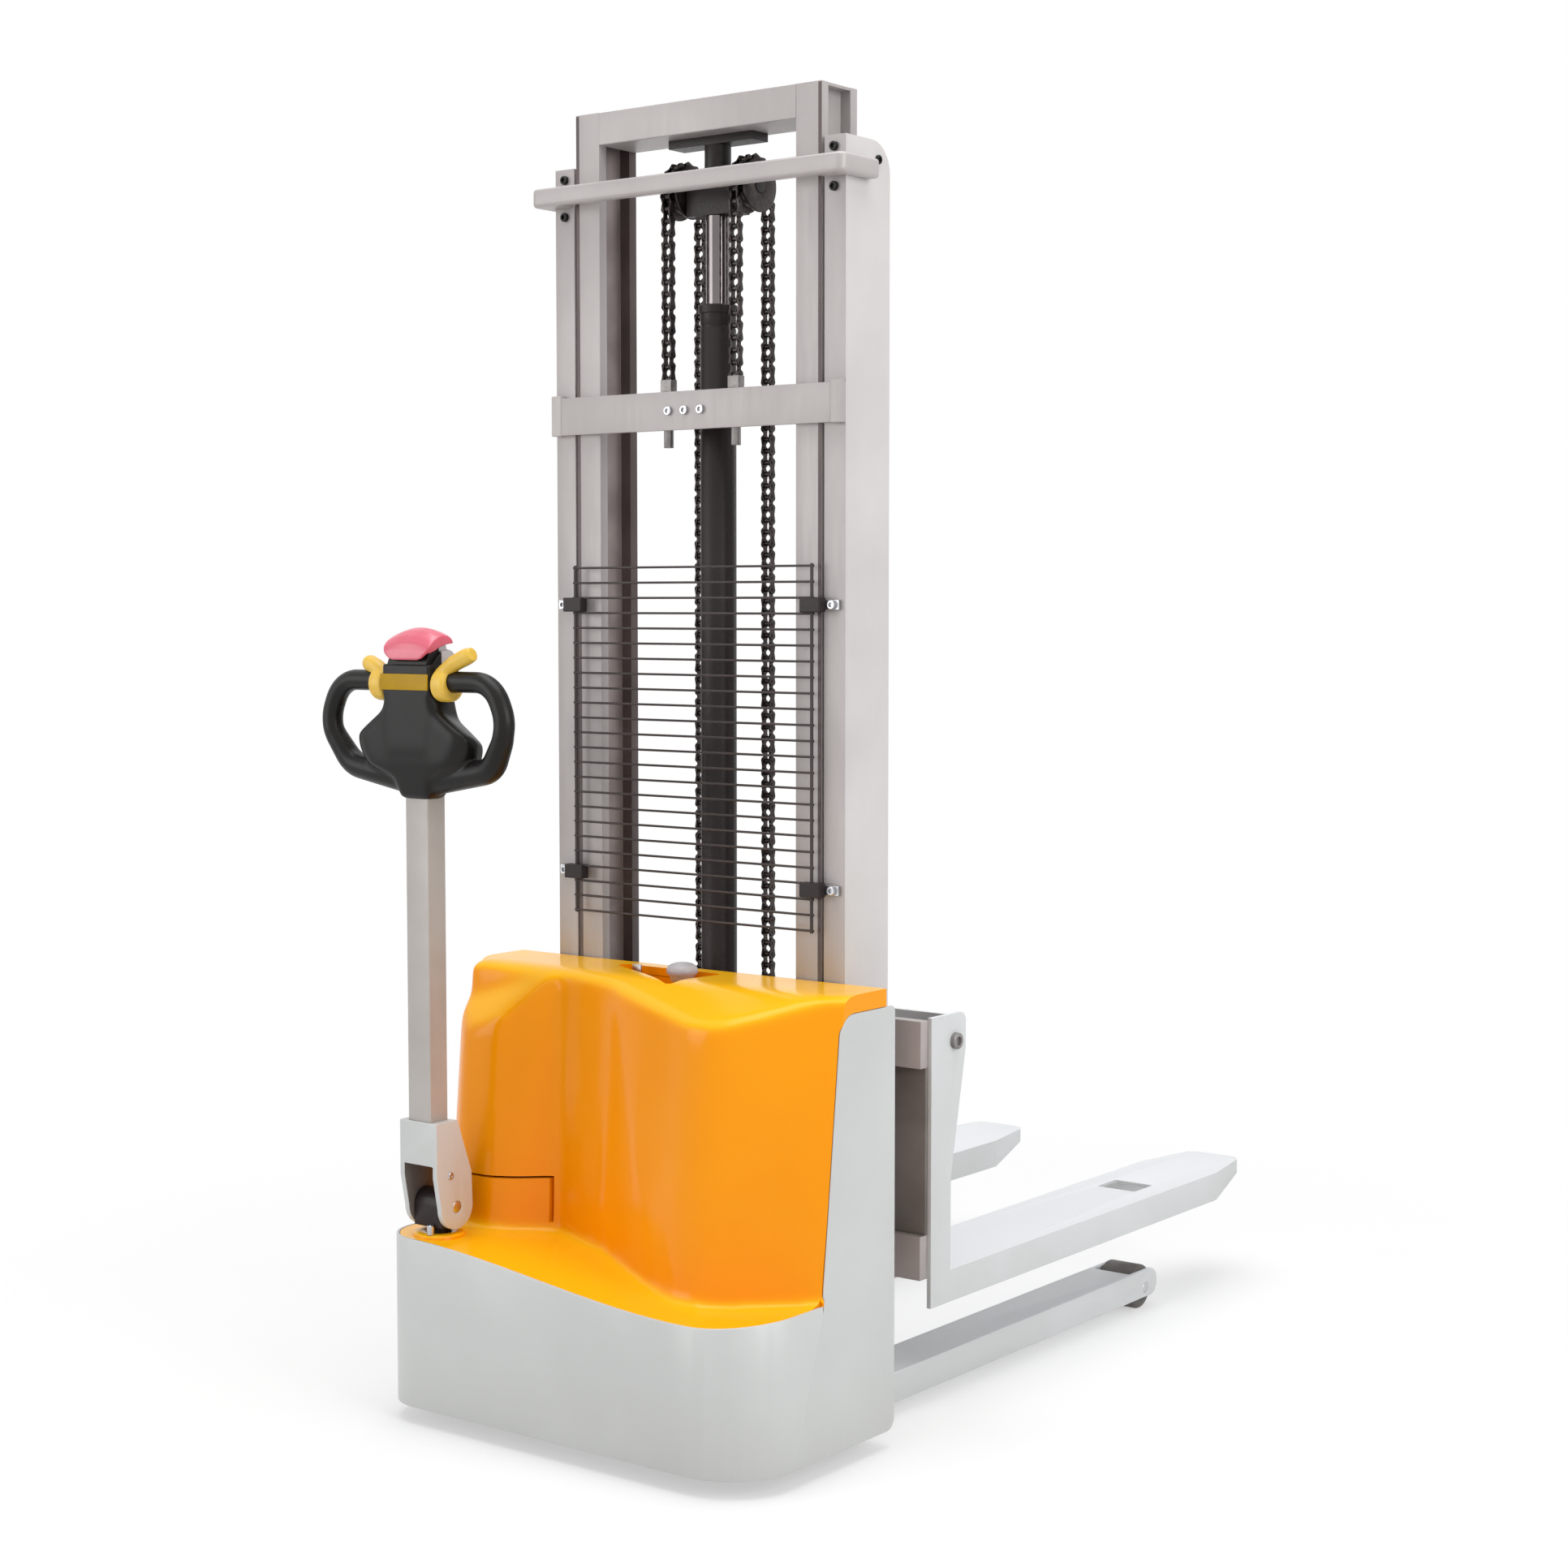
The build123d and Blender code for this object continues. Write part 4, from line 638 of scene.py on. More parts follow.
def gripLoop(bm, side):
    look = gripLook
    top, foot = look["swellTop"], look["swellFoot"]
    points, radii = [], []
    for p in roundCorners(look["path"], look["bends"], look["bendSteps"]):
        share = min(max(0, (top - p.y) / (top - foot)), 1)
        points.append(Vector((tillerX + side * p.x, look["y"] + look["sink"] * share, p.y)))
        radii.append(look["radius"] + look["swell"] * share)
    tubeAlong(bm, points, radii, look["sides"])


def makeHead():
    look = gripLook
    bm = bmesh.new()
    prism(bm, mirrored(look["column"]), "XZ", headLow.y, headHigh.y)
    wings = mirrored(look["wings"])
    loft(bm, [[spot(tillerX + (p.x - tillerX) * spread, y, p.y + rise) for p in wings]
              for y, spread, rise in look["wingLayers"]])
    for vertex in bm.verts:
        place = truckPoint(vertex.co)
        if place.y < look["leanRear"] and place.z < look["leanTop"]:
            vertex.co.y += (look["leanTop"] - place.z) * look["lean"] / 1000
    body = moulded(meshOf(bm), look["voxel"], look["bodyPasses"])
    bm = bmesh.new()
    bm.from_mesh(body)
    half, far = look["blockHalf"], look["far"]
    brick(bm, tillerX - half, tillerX + half, headLow.y + look["blockGap"], headHigh.y, look["blockFoot"], headHigh.z)
    for side in (1, -1):
        gripLoop(bm, side)
    soft = moulded(meshOf(bm), look["voxel"], look["passes"])
    front = look["wingLayers"][-1][0] + look["frontPast"]
    box = build((brick, tillerX - far, tillerX + far, headLow.y, front, headLow.z, headHigh.z))
    return shaped(soft, keepInside(box))


piece("head_and_loops", makeHead(), gripPlastic, ("tiller_head", "handle_loops"), sharp=50)

# The button and its carrier are crowned: they fall away towards both ends
crownLook = {"half": 52.5, "drop": 13, "foot": 1256, "top": 1309, "steps": 10}


def crowned(bm, outline, low, high):
    half, drop, foot, top, steps = crownLook.values()
    rings = []
    for k in range(steps + 1):
        x = low + (high - low) * k / steps
        fall = drop * (x / half) ** 2 / (top - foot)
        rings.append([spot(tillerX + x, y, z - fall * max(0, z - foot)) for y, z in outline])
    loft(bm, rings)


# Black arch and pale grey front block that carry the red button
archLook = {
    "half": 44, "wide": 50, "bevel": 1.2,
    "arch": [(-366, 1236), (-366, 1250), (-362, 1260), (-357, 1273), (-351, 1283), (-342, 1289.5), (-336, 1291.5),
             (-336, 1236)],
    "archFoot": [(-368, 1235), (-368, 1249), (-356, 1249), (-346, 1262), (-336, 1273), (-336, 1235)],
    "front": [(-336, 1236), (-336, 1291.5), (-330, 1292.5), (-324, 1290), (-319.5, 1284), (-318, 1277), (-309, 1275),
              (-309, 1236)],
    "frontFoot": [(-336, 1235), (-336, 1275), (-314, 1276), (-308, 1271), (-308, 1235)]}
for shape, finish, slot in (("arch", gripPlastic, "black_plastic"), ("front", greyAbs, "grey_plastic")):
    layers = [(crowned, archLook[shape], -archLook["half"], archLook["half"]),
              (crowned, archLook[shape + "Foot"], -archLook["wide"], archLook["wide"])]
    piece("button_" + shape, build(*layers), finish, (), "tiller", bevel=archLook["bevel"])

# Red belly button: a thin roof over the arch with a deeper cheek at each end
buttonLook = {
    "half": 52.5, "cheek": 45.5, "corner": 30, "cornerTop": 90, "voxel": 1.5, "passes": 10, "lastPasses": 6,
    "depth": (-420, -280),
    "outer": [(-372, 1256), (-371.5, 1271), (-367, 1285), (-359, 1296), (-347, 1304.5), (-333, 1309), (-320, 1306.5),
              (-312.5, 1299), (-309.5, 1290)],
    "roof": [(-315.5, 1290), (-318, 1294.5), (-323, 1299.5), (-333, 1302), (-344, 1298), (-354, 1290.5),
             (-360.5, 1281), (-364.5, 1270), (-365.5, 1256)],
    "edge": [(-315.5, 1290), (-330, 1287), (-343, 1281), (-354, 1270), (-361, 1257)]}


def makeButton():
    look = buttonLook
    bm = bmesh.new()
    half, foot = look["half"], look["outer"][0][1]
    crowned(bm, look["outer"] + look["roof"], -half, half)
    for side in (1, -1):
        crowned(bm, look["outer"] + look["edge"], side * look["cheek"], side * half)
    soft = moulded(meshOf(bm), look["voxel"], look["passes"])
    top = foot + look["cornerTop"]
    face = [(tillerX + x, z) for x, z in ((-half, foot), (half, foot), (half, top), (-half, top))]
    face = roundCorners(face, [look["corner"], look["corner"], 0, 0])
    trimmed = shaped(soft, keepInside(build((prism, face, "XZ", *look["depth"]))))
    return moulded(trimmed, look["voxel"], look["lastPasses"])


piece("red_button", makeButton(), redButton, ["belly_button"], sharp=60)

# Yellow butterfly levers: a lobe round each loop and a thumb wing
leverLook = {
    "x": 70, "z": 1217, "radius": 28, "half": 15, "bore": 17.4, "boreHalf": 160, "boreZ": 1222,
    "blockHalf": 54, "blockZ": (1150, 1300), "depth": (-420, -280), "voxel": 1.8, "passes": 10,
    "right": [(62, -350, 1232, 13), (92, -350, 1252, 13.5), (118, -348, 1263, 14), (130, -347, 1267, 11.5)],
    "left": [(62, -350, 1232, 13), (84, -350, 1244, 13.5), (102, -348, 1250, 14), (109, -347, 1251, 11)]}


def makeLevers():
    look = leverLook
    bm = bmesh.new()
    radius, half, y = look["radius"], look["half"], gripLook["y"]
    lobe = bothEnds([(half - 7, radius), (half - 3, radius - 1), (half, radius - 5)])
    for side, wing in ((1, look["right"]), (-1, look["left"])):
        lathe(bm, lobe, (tillerX + side * look["x"], y, look["z"]), "X", 32)
        tubeAlong(bm, [Vector((tillerX + side * p[0], p[1], p[2])) for p in wing], [p[3] for p in wing], 16)
    soft = moulded(meshOf(bm), look["voxel"], look["passes"])
    reach, block = look["boreHalf"], look["blockHalf"]
    bore = build((lathe, bothEnds([(reach, look["bore"])]), (tillerX, y, look["boreZ"]), "X", 40))
    middle = build((brick, tillerX - block, tillerX + block, *look["depth"], *look["blockZ"]))
    return shaped(soft, cutAway(bore), cutAway(middle))


piece("butterfly_levers", makeLevers(), yellowAcetal, ["throttle_levers"], sharp=50)
print("tiller head done")

# Eased copies of the plain solids: width of the ease, its segments, finish and nodes
for width, segments, finish, nodes in (
        (1.0, 3, goldPlate, "head_plate"), (1.6, 3, gripPlastic, "lift_rocker"), (1.6, 3, redButton, "horn_button"),
        (3.5, 4, tubeCoat, "tiller_tube"), (1.5, 2, darkEnamel, "steering_column"), (6, 4, mastEnamel, "mast_yoke"),
        (1.5, 2, zincBolt, "tiller_pivot_pin load_wheel_axles"), (2.2, 3, mastEnamel, "mast_crossbeam"),
        (2.0, 2, silverCoat, "mast_foot"), (1.2, 2, dullZinc, "chain_anchors"), (1.2, 2, chainPlate, "chain_wheels"),
        (2.5, 3, darkEnamel, "chain_wheel_carrier"), (1.5, 3, turnedSteel, "inner_mast_rollers outer_mast_rollers"),
        (1.5, 3, turnedSteel, "carriage_rollers_upper carriage_rollers_lower"),
        (2.5, 2, mastEnamel, "carriage_cheeks"),
        (2.0, 3, forkCoat, "fork_left fork_right"), (4.0, 3, forkCoat, "support_leg_left support_leg_right"),
        (1.4, 2, silverCoat, "chassis_shell"), (1.0, 2, darkEnamel, "base_plate bulkhead"),
        (2.0, 2, None, "drive_unit caster_mount caster_fork"), (3.0, 2, batteryCase, "batteries"),
        (1.0, 2, turnedSteel, "key_switch")):
    for node in nodes.split():
        softCopy(node, width, [finish or slotFinish[nodeSlot[node]]], segments)

# Copies whose faces differ: outer sides painted paler (painted light), greased tracks with painted shade at their
# edge, and painted shade in the hollows
ruleLook = {
    "railSide": 300, "sideways": 0.7, "trackOpen": 228, "rearFlange": 19, "frontFlange": 76, "trackLip": 207,
    "rearward": -0.8, "beamEnd": 200, "beamEase": 0.3, "clevisHalf": 33, "clevisTop": 431, "hollowFoot": 302,
    "hollowTop": 582}


# faces in the channel: 1 greased track, 2 painted shade at its edge
def trackFaces(p, face):
    if abs(p.x) > ruleLook["trackOpen"] or p.y < ruleLook["rearFlange"]:
        return 0
    if abs(p.x) < ruleLook["trackLip"] or face.normal.y < ruleLook["rearward"]:
        return 2
    return 1 if p.y < ruleLook["frontFlange"] else 0


# the outer sideways faces take the paler enamel: painted light
def outerSides(p, face):
    return int(abs(face.normal.x) > ruleLook["sideways"] and abs(p.x) > ruleLook["railSide"])


softCopy("tiller_clevis", 3.0, [silverCoat, recessShade], 3,
         faceRule=lambda p, face: int(abs(p.x - tillerX) < ruleLook["clevisHalf"] and p.z < ruleLook["clevisTop"]))
for side in ("left", "right"):
    softCopy("outer_mast_" + side, 2.2, [mastEnamel, litSideEnamel], 3, faceRule=outerSides)
    softCopy("inner_mast_" + side, 2.2, [mastEnamel, rollerTrack, trackShade], 3, faceRule=trackFaces)
softCopy("inner_beams", 2.0, [mastEnamel], 3,
         rule=lambda p: ruleLook["beamEase"] if abs(p.x) > ruleLook["beamEnd"] else None)
softCopy("carriage_bars", 2.5, [shadedBarEnamel, recessShade],
         faceRule=lambda p, face: int(ruleLook["hollowFoot"] < p.z < ruleLook["hollowTop"]))
pinLook = {"y": -318, "z": 412, "radius": 6.5, "height": 2.5}


def pinHead(bm, x, way):
    y, z, radius, height = pinLook.values()
    profile = [(0, radius), (height - 1.5, radius), (height, radius - 1.5), (height, radius * 0.45),
               (height - 1.2, radius * 0.4)]
    lathe(bm, [(way * step, width) for step, width in profile], (x, y, z), "X", 24)


clevisLow, clevisHigh = limits("tiller_clevis")
pins = build((pinHead, clevisHigh.x, 1), (pinHead, clevisLow.x, -1))
piece("clevis_pins", pins, zincBolt, (), "tiller")

# Lift cylinder with its gland, and the chrome rod
ramLook = {"y": 61, "radius": 30, "foot": 76, "top": 1825, "gland": 33, "cap": 1839, "rod": 20, "bore": 21.5,
           "rodFoot": 260, "rodTop": 1985}
y, r, foot, top, g, cap, rod, bore, rodFoot, rodTop = ramLook.values()
tube = [(foot, r), (top - 26, r), (top - 24, r - 1.5), (top - 20, r - 1.5), (top - 18, r), (top, r), (top, g - 1),
        (top + 1, g), (cap - 2, g), (cap, g - 2), (cap, rod + 5), (cap - 4, bore), (foot + 40, bore),
        (foot + 12, bore), (foot + 11, 0.5), (foot, 0.5)]
piece("lift_ram_tube", build((lathe, tube, (0, y, 0), "Z", 48, True)), darkEnamel, ["lift_cylinder"])
polished = [(rodFoot, rod - 1), (rodFoot + 1, rod), (rodTop - 1, rod), (rodTop, rod - 1)]
piece("lift_ram_rod", build((lathe, polished, (0, y, 0), "Z", 48)), chromeRod, ["piston_rod"])
print("mast done")


# Wheels: a cast tread on a turned hub, in one dark tone
def wheelMesh(centre, width, radius, hub, bore):
    half = width / 2
    tread = [(half - 5, radius), (half - 2, radius - 1.5), (half, radius - 5), (half, hub)]
    core = [(half - 1, hub), (half - 1, hub - 3), (half - 5, hub - 5), (half - 5, bore + 9)]
    core += [(half, bore + 7), (half, bore)]
    return build(*[(lathe, bothEnds(profile), centre, "X", 48, True) for profile in (tread, core)])


# centre, width, radius, hub and bore of each wheel
wheelLook = {
    "load_wheel_left": ((-255.5, 988, 42), 72, 42, 28, 10.5),
    "load_wheel_right": ((255.5, 988, 42), 72, 42, 28, 10.5),
    "drive_wheel": ((-265, -140, 100), 70, 100, 64, 15.1), "caster_wheel": ((255, -235, 62.5), 48, 62.5, 42, 8.1)}
for node, sizes in wheelLook.items():
    piece(node + "_turned", wheelMesh(*sizes), treadPolyurethane, [node])

# Motors under the hood: ribbed barrels with a stepped cap
motorLook = {"ribs": 9, "first": 30, "pitch": 13, "rib": 7, "groove": 3.5, "cap": 24, "step": 9}


def motorBarrel(bm, x, y, foot, top, radius):
    ribs, first, pitch, rib, groove, cap, step = motorLook.values()
    inner, cap, step, knob = radius - groove, top - cap, top - step, radius * 0.5
    profile = [(foot, radius - 2), (foot + 2, radius)]
    for k in range(ribs):
        low = foot + first + pitch * k
        high = low + pitch - rib
        if low + pitch > cap:
            break
        profile += [(low, radius), (low + 1, inner), (high, inner), (high + 1, radius)]
    profile += [(cap, radius), (cap + 3, radius - 2), (step, radius - 3)]
    profile += [(step + 2, knob), (top - 1, knob), (top, knob - 1)]
    lathe(bm, profile, (x, y, 0), "Z", 40)


low, high = limits("drive_motor")
x, y, z = middleOf("drive_motor")
barrel = build((motorBarrel, x, y, low.z, high.z, (high.x - low.x) / 2))
piece("drive_motor_barrel", barrel, darkEnamel, ["drive_motor"])
packLook = {"tankTop": 424, "pump": 48, "round": 8}
low, high = limits("power_pack")
x, y, z = middleOf("power_pack")
tank = roundCorners([(low.x, low.y), (high.x, low.y), (high.x, high.y), (low.x, high.y)], [packLook["round"]] * 4)
unit = build((prism, tank, "XY", low.z, packLook["tankTop"]),
             (motorBarrel, x, y, packLook["tankTop"], high.z, packLook["pump"]))
piece("power_pack_unit", unit, slotFinish[nodeSlot["power_pack"]], ["power_pack"])

# Controller: a cast heat sink whose fins stand up from its base
finLook = {"pitch": 11, "fin": 5, "base": 14}
pitch, fin, base = finLook.values()
low, high = limits("motor_controller")
base += low.z
comb = [(high.x, low.z), (low.x, low.z)]
for k in range(int((high.x - low.x) / pitch)):
    x = low.x + pitch * k
    comb += [(x, high.z), (x + fin, high.z), (x + fin, base), (x + pitch, base)]
comb[-1] = (high.x, base)
piece("controller_heat_sink", build((prism, comb, "XZ", low.y, high.y)), slotFinish[nodeSlot["motor_controller"]],
      ["motor_controller"])
print("chassis and wheels done")

# Emergency stop on the hood
stopLook = {"place": (20, -62, 0), "radius": 26, "foot": 740, "top": 760, "stem": 8, "stemFoot": 709}
place, r, foot, top, stem, stemFoot = stopLook.values()
mushroom = [(stemFoot, stem), (foot - 12, stem), (foot - 12, r - 9), (foot - 10, r - 7), (foot - 2, r - 5),
            (foot, r - 2), (foot + 3, r), (foot + 9, r - 0.3), (foot + 14, r - 3), (foot + 17, r - 8),
            (top - 1, r - 14), (top, r - 21), (top, 0.4)]
piece("stop_mushroom", build((lathe, mushroom, place, "Z", 40)), greyAbs, ["emergency_stop"], sharp=50)


# Geometry Nodes run on a carrier mesh, and the result is kept as a plain mesh
def nodeGroup(name, sockets):
    tree = bpy.data.node_groups.new(name, "GeometryNodeTree")
    tree.interface.new_socket("Geometry", in_out="INPUT", socket_type="NodeSocketGeometry")
    for label, kind in sockets.items():
        tree.interface.new_socket(label, in_out="INPUT", socket_type="NodeSocket" + kind)
    tree.interface.new_socket("Geometry", in_out="OUTPUT", socket_type="NodeSocketGeometry")
    return tree, addNode(tree, "NodeGroupInput"), addNode(tree, "NodeGroupOutput")


def grown(tree, mesh, values):
    obj = linked("shaping", mesh)
    helpers = {key: linked("shaping", value) for key, value in values.items() if isinstance(value, bpy.types.Mesh)}
    mod = obj.modifiers.new("nodes", "NODES")
    mod.node_group = tree
    for item in tree.interface.items_tree:
        if item.in_out == "INPUT" and item.name in values:
            mod[item.identifier] = helpers.get(item.name, values[item.name])
    return withModifiers(obj, helpers.values())


def setOn(tree, given, points, shape, turn, scale=(1, 1, 1)):
    info = addNode(tree, "GeometryNodeObjectInfo", {"Object": given.outputs[shape]})
    placed = addNode(tree, "GeometryNodeInstanceOnPoints", {
        "Points": points, "Instance": info.outputs["Geometry"], "Rotation": turn, "Scale": scale})
    return addNode(tree, "GeometryNodeRealizeInstances", {"Geometry": placed})


# Chain: plates and pins set along a path, every second link narrower
def chainTree():
    tree, given, out = nodeGroup("chainAlongPath", {
        "Pitch": "Float", "Narrow": "Float", "Plates": "Object", "Pins": "Object"})
    curve = addNode(tree, "GeometryNodeMeshToCurve", {"Mesh": given.outputs["Geometry"]})
    spacing = {"Curve": curve, "Length": given.outputs["Pitch"]}
    spaced = addNode(tree, "GeometryNodeResampleCurve", spacing, mode="LENGTH")
    tangent = addNode(tree, "GeometryNodeInputTangent")
    turn = addNode(tree, "FunctionNodeAlignRotationToVector", {"Vector": tangent}, axis="Z", pivot_axis="X")
    odd = maths(tree, "MODULO", addNode(tree, "GeometryNodeInputIndex"), 2.0)
    size = vector(tree, X=remap(tree, odd, 0.0, 1.0, 1.0, given.outputs["Narrow"]), Y=1.0, Z=1.0)
    both = addNode(tree, "GeometryNodeJoinGeometry")
    for shape, scale in (("Plates", size), ("Pins", (1, 1, 1))):
        setInputs(tree, both, {0: setOn(tree, given, spaced, shape, turn, scale)})
    setInputs(tree, out, {0: both})
    return tree


chainLook = {
    "x": 71, "pitch": 19.05, "narrow": 0.7, "plateRadius": 7.6, "waist": 4.6, "plateX": 8.6, "plateThick": 2.2,
    "plateSweep": 72, "pinRadius": 4.4, "pinEnd": 2.6, "pinHalf": 10.6, "pinStep": 2.4, "pinSides": 10,
    "wheelY": 61, "wheelZ": 2028, "radius": 43, "arcSteps": 24, "rearY": 18, "frontY": 104, "past": 8,
    "rearFoot": limits("lift_chains_rear")[0].z, "frontFoot": limits("lift_chains_front")[0].z}


def plateShape():
    look = chainLook
    half, radius, sweep = look["pitch"] / 2, look["plateRadius"], look["plateSweep"]
    ring = []
    for sign in (1, -1):
        for k in range(6):
            turn = math.radians(-sweep + 2 * sweep * k / 5)
            ring.append((math.sin(turn) * radius * sign, (half + math.cos(turn) * radius) * sign))
        ring.append((look["waist"] * sign, 0))
    plates = []
    for side in (1, -1):
        inner = side * look["plateX"] - look["plateThick"] / 2
        plates.append([[Vector((x, y, z)) / 1000 for y, z in ring] for x in (inner, inner + look["plateThick"])])
    return build(*[(loft, rings) for rings in plates])


def pinShape():
    look = chainLook
    end, roller, step = look["pinEnd"], look["pinRadius"], look["plateX"] - look["pinStep"]
    steps = bothEnds([(step, roller), (step, end), (look["pinHalf"], end)])
    rings = [circle(Vector((x, 0, look["pitch"] / 2)), axisY, axisZ, radius, look["pinSides"]) for x, radius in steps]
    return build((loft, [[p / 1000 for p in ring] for ring in rings]))


def chainMesh(*paths):
    points, edges = [], []
    for path in paths:
        edges += [(len(points) + i, len(points) + i + 1) for i in range(len(path) - 1)]
        points += [spot(*p) for p in path]
    return grown(chainTree(), plainMesh("path", points, edges), {
        "Pitch": chainLook["pitch"] / 1000, "Narrow": chainLook["narrow"], "Plates": plateShape(),
        "Pins": pinShape()})


look = chainLook
sides = (look["x"], -look["x"])
turns = [math.pi * k / look["arcSteps"] for k in range(look["arcSteps"] + 1)]
arc = [(look["wheelY"] - look["radius"] * math.cos(turn), look["wheelZ"] + look["radius"] * math.sin(turn))
       for turn in turns]
for end, lower in (("rear", "chassis"), ("front", "carriage")):
    y, foot = look[end + "Y"], look[end + "Foot"]
    paths = [[(x, y, foot - look["past"]), (x, y, look["wheelZ"])] for x in sides]
    strand = piece("chain_" + end, chainMesh(*paths), chainPlate, ["lift_chains_" + end], rides=False)
    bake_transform(strand)
piece("chain_over_wheels", chainMesh(*[[(x, y, z) for y, z in arc] for x in sides]), chainPlate, (),
      "inner_mast")

# Steering chain: the same links made small, laid flat round the two sprockets
steerLook = {"scale": 0.37, "radius": 42.8, "lastShare": 0.3}
unitMiddle = middleOf("drive_unit")
run = Vector((unitMiddle.x - tillerAxis.x, unitMiddle.y - tillerAxis.y))
ahead = run.normalized()
outward = Vector((ahead.y, -ahead.x)) * steerLook["radius"]
loop = [outward]
for middle, first in ((run, outward), (Vector((0, 0)), -outward)):
    loop += [middle + Matrix.Rotation(turn, 2) @ first for turn in turns]
loop[-1] = loop[-2].lerp(loop[-1], steerLook["lastShare"])
small = steerLook["scale"]
steerMesh = chainMesh([(0, p.x / small, p.y / small) for p in loop])
# the links are made on edge, so the axes change places
flat = Matrix(((0, 1, 0, 0), (0, 0, 1, 0), (1, 0, 0, 0), (0, 0, 0, 1)))
steerMesh.transform(Matrix.Translation(spot(tillerAxis.x, tillerAxis.y, middleOf("steering_chain").z)) @ flat
                    @ Matrix.Scale(small, 4) @ Matrix.Translation(-spot(0, 0, 0)))
piece("steering_chain_links", steerMesh, chainPlate, ["steering_chain"])

# Wire guard: rows of wire between two edge wires
guardLook = {"rows": 24, "foot": 824, "top": 1407, "half": 250, "y": -16, "wire": 2.0, "edgeWire": 2.75, "past": 4,
             "wireSides": 10}


def guardTree():
    tree, given, out = nodeGroup("wireGrid", {
        "Rows": "Int", "Height": "Float", "Half": "Float", "Past": "Float", "Wire": "Float", "Edge Wire": "Float"})
    rows, height, half, past = (given.outputs[key] for key in ("Rows", "Height", "Half", "Past"))

    def minus(value):
        return maths(tree, "MULTIPLY", value, -1.0)

    def line(start, end):
        return addNode(tree, "GeometryNodeCurvePrimitiveLine", {"Start": start, "End": end})

    pitch = maths(tree, "DIVIDE", height, maths(tree, "SUBTRACT", rows, 1.0))
    reach = maths(tree, "ADD", half, past)
    levels = addNode(tree, "GeometryNodeMeshLine", {"Count": rows, "Offset": vector(tree, Z=pitch)})
    across = line(vector(tree, X=minus(reach)), vector(tree, X=reach))
    edges = addNode(tree, "GeometryNodeMeshLine", {
        "Count": 2, "Start Location": vector(tree, X=minus(half)),
        "Offset": vector(tree, X=maths(tree, "MULTIPLY", half, 2.0))})
    upright = line(vector(tree, Z=minus(past)), vector(tree, Z=maths(tree, "ADD", height, past)))
    both = addNode(tree, "GeometryNodeJoinGeometry")
    for points, path, radius in ((levels, across, "Wire"), (edges, upright, "Edge Wire")):
        section = addNode(tree, "GeometryNodeCurvePrimitiveCircle", {
            "Resolution": guardLook["wireSides"], "Radius": given.outputs[radius]})
        wire = addNode(tree, "GeometryNodeCurveToMesh", {"Curve": path, "Profile Curve": section, "Fill Caps": True})
        placed = addNode(tree, "GeometryNodeInstanceOnPoints", {"Points": points, "Instance": wire})
        setInputs(tree, both, {0: placed})
    place = spot(0, guardLook["y"], guardLook["foot"])
    wires = addNode(tree, "GeometryNodeRealizeInstances", {"Geometry": both})
    setInputs(tree, out, {0: addNode(tree, "GeometryNodeTransform", {"Geometry": wires, "Translation": place})})
    return tree


look = guardLook
metres = {"Height": look["top"] - look["foot"], "Half": look["half"], "Past": look["past"], "Wire": look["wire"],
          "Edge Wire": look["edgeWire"]}
guardMesh = grown(guardTree(), bpy.data.meshes.new("empty"), {
    "Rows": look["rows"], **{key: value / 1000 for key, value in metres.items()}})
piece("guard_wires", guardMesh, dippedWire, ["wire_guard"], sharp=50)

# Pairs of blocks, one on each side: guard clips and their zinc tabs, ends of the crossbeam, caps on the inner rails,
# and a thin dark strip on each inner rail beside the outer rail: painted shade that widens the dark gap between them
beamLow, beamHigh = limits("mast_crossbeam")
railTop = limits("inner_mast_right")[1].z
# each has its reach in X, Y and Z, finish, replaced nodes, body, slot, and the width and segments of its bevel
pairLook = {
    "guard_clip_blocks": (
        (231, 271), (-25, -7), ((878, 902), (1333, 1357)), darkEnamel, ["guard_clips"],
        "chassis", "dark_paint", 2.0, 3),
    "guard_clip_tabs": (
        (262, 296), (-7, -1.5), ((882, 898), (1337, 1353)), zincBolt, (), "chassis", "bolt_steel", 1.0, 2),
    "crossbeam_ends": (
        (beamHigh.x - 21, beamHigh.x + 0.8), (beamLow.y - 1.2, -2.2), ((beamLow.z - 1, beamHigh.z + 4),),
        mastEnamel, (), "chassis", "mast_paint", 1.5, 2),
    "rail_caps": (
        (207, 255.5), (17, 79), ((railTop - 5, railTop - 0.5),), mastEnamel, (), "inner_mast", "mast_paint", 0, 0),
    # a dark strip set in the gap between the rails: painted shade
    "rail_edge_grease": (
        (250.5, 256.8), (-0.3, 1.0), ((170, railTop - 2),), trackShade, (), "inner_mast", "mast_paint", 0, 0)}
for name, (xs, ys, heights, finish, replaced, body, slot, width, segments) in pairLook.items():
    blocks = [(brick, *sorted(side * x for x in xs), *ys, *zs) for side in (1, -1) for zs in heights]
    piece(name, build(*blocks), finish, replaced, body, bevel=width, segments=segments)


# Cap screws: one shape set on points that carry their own facing
def screwTree():
    tree, given, out = nodeGroup("screwsOnPoints", {"Shape": "Object"})
    facing = addNode(tree, "GeometryNodeInputNamedAttribute", {"Name": "facing"}, data_type="FLOAT_VECTOR")
    turn = addNode(tree, "FunctionNodeAlignRotationToVector", {"Vector": facing.outputs["Attribute"]}, axis="Z")
    setInputs(tree, out, {0: setOn(tree, given, given.outputs["Geometry"], "Shape", turn)})
    return tree


def screwShape(radius, height):
    steps = [(-0.5, radius), (height - 1, radius), (height, radius - 1), (height, radius * 0.55),
             (height * 0.4, radius * 0.5)]
    return build((loft, [[p / 1000 for p in circle(axisZ * z, axisX, axisY, width, 12)] for z, width in steps]))


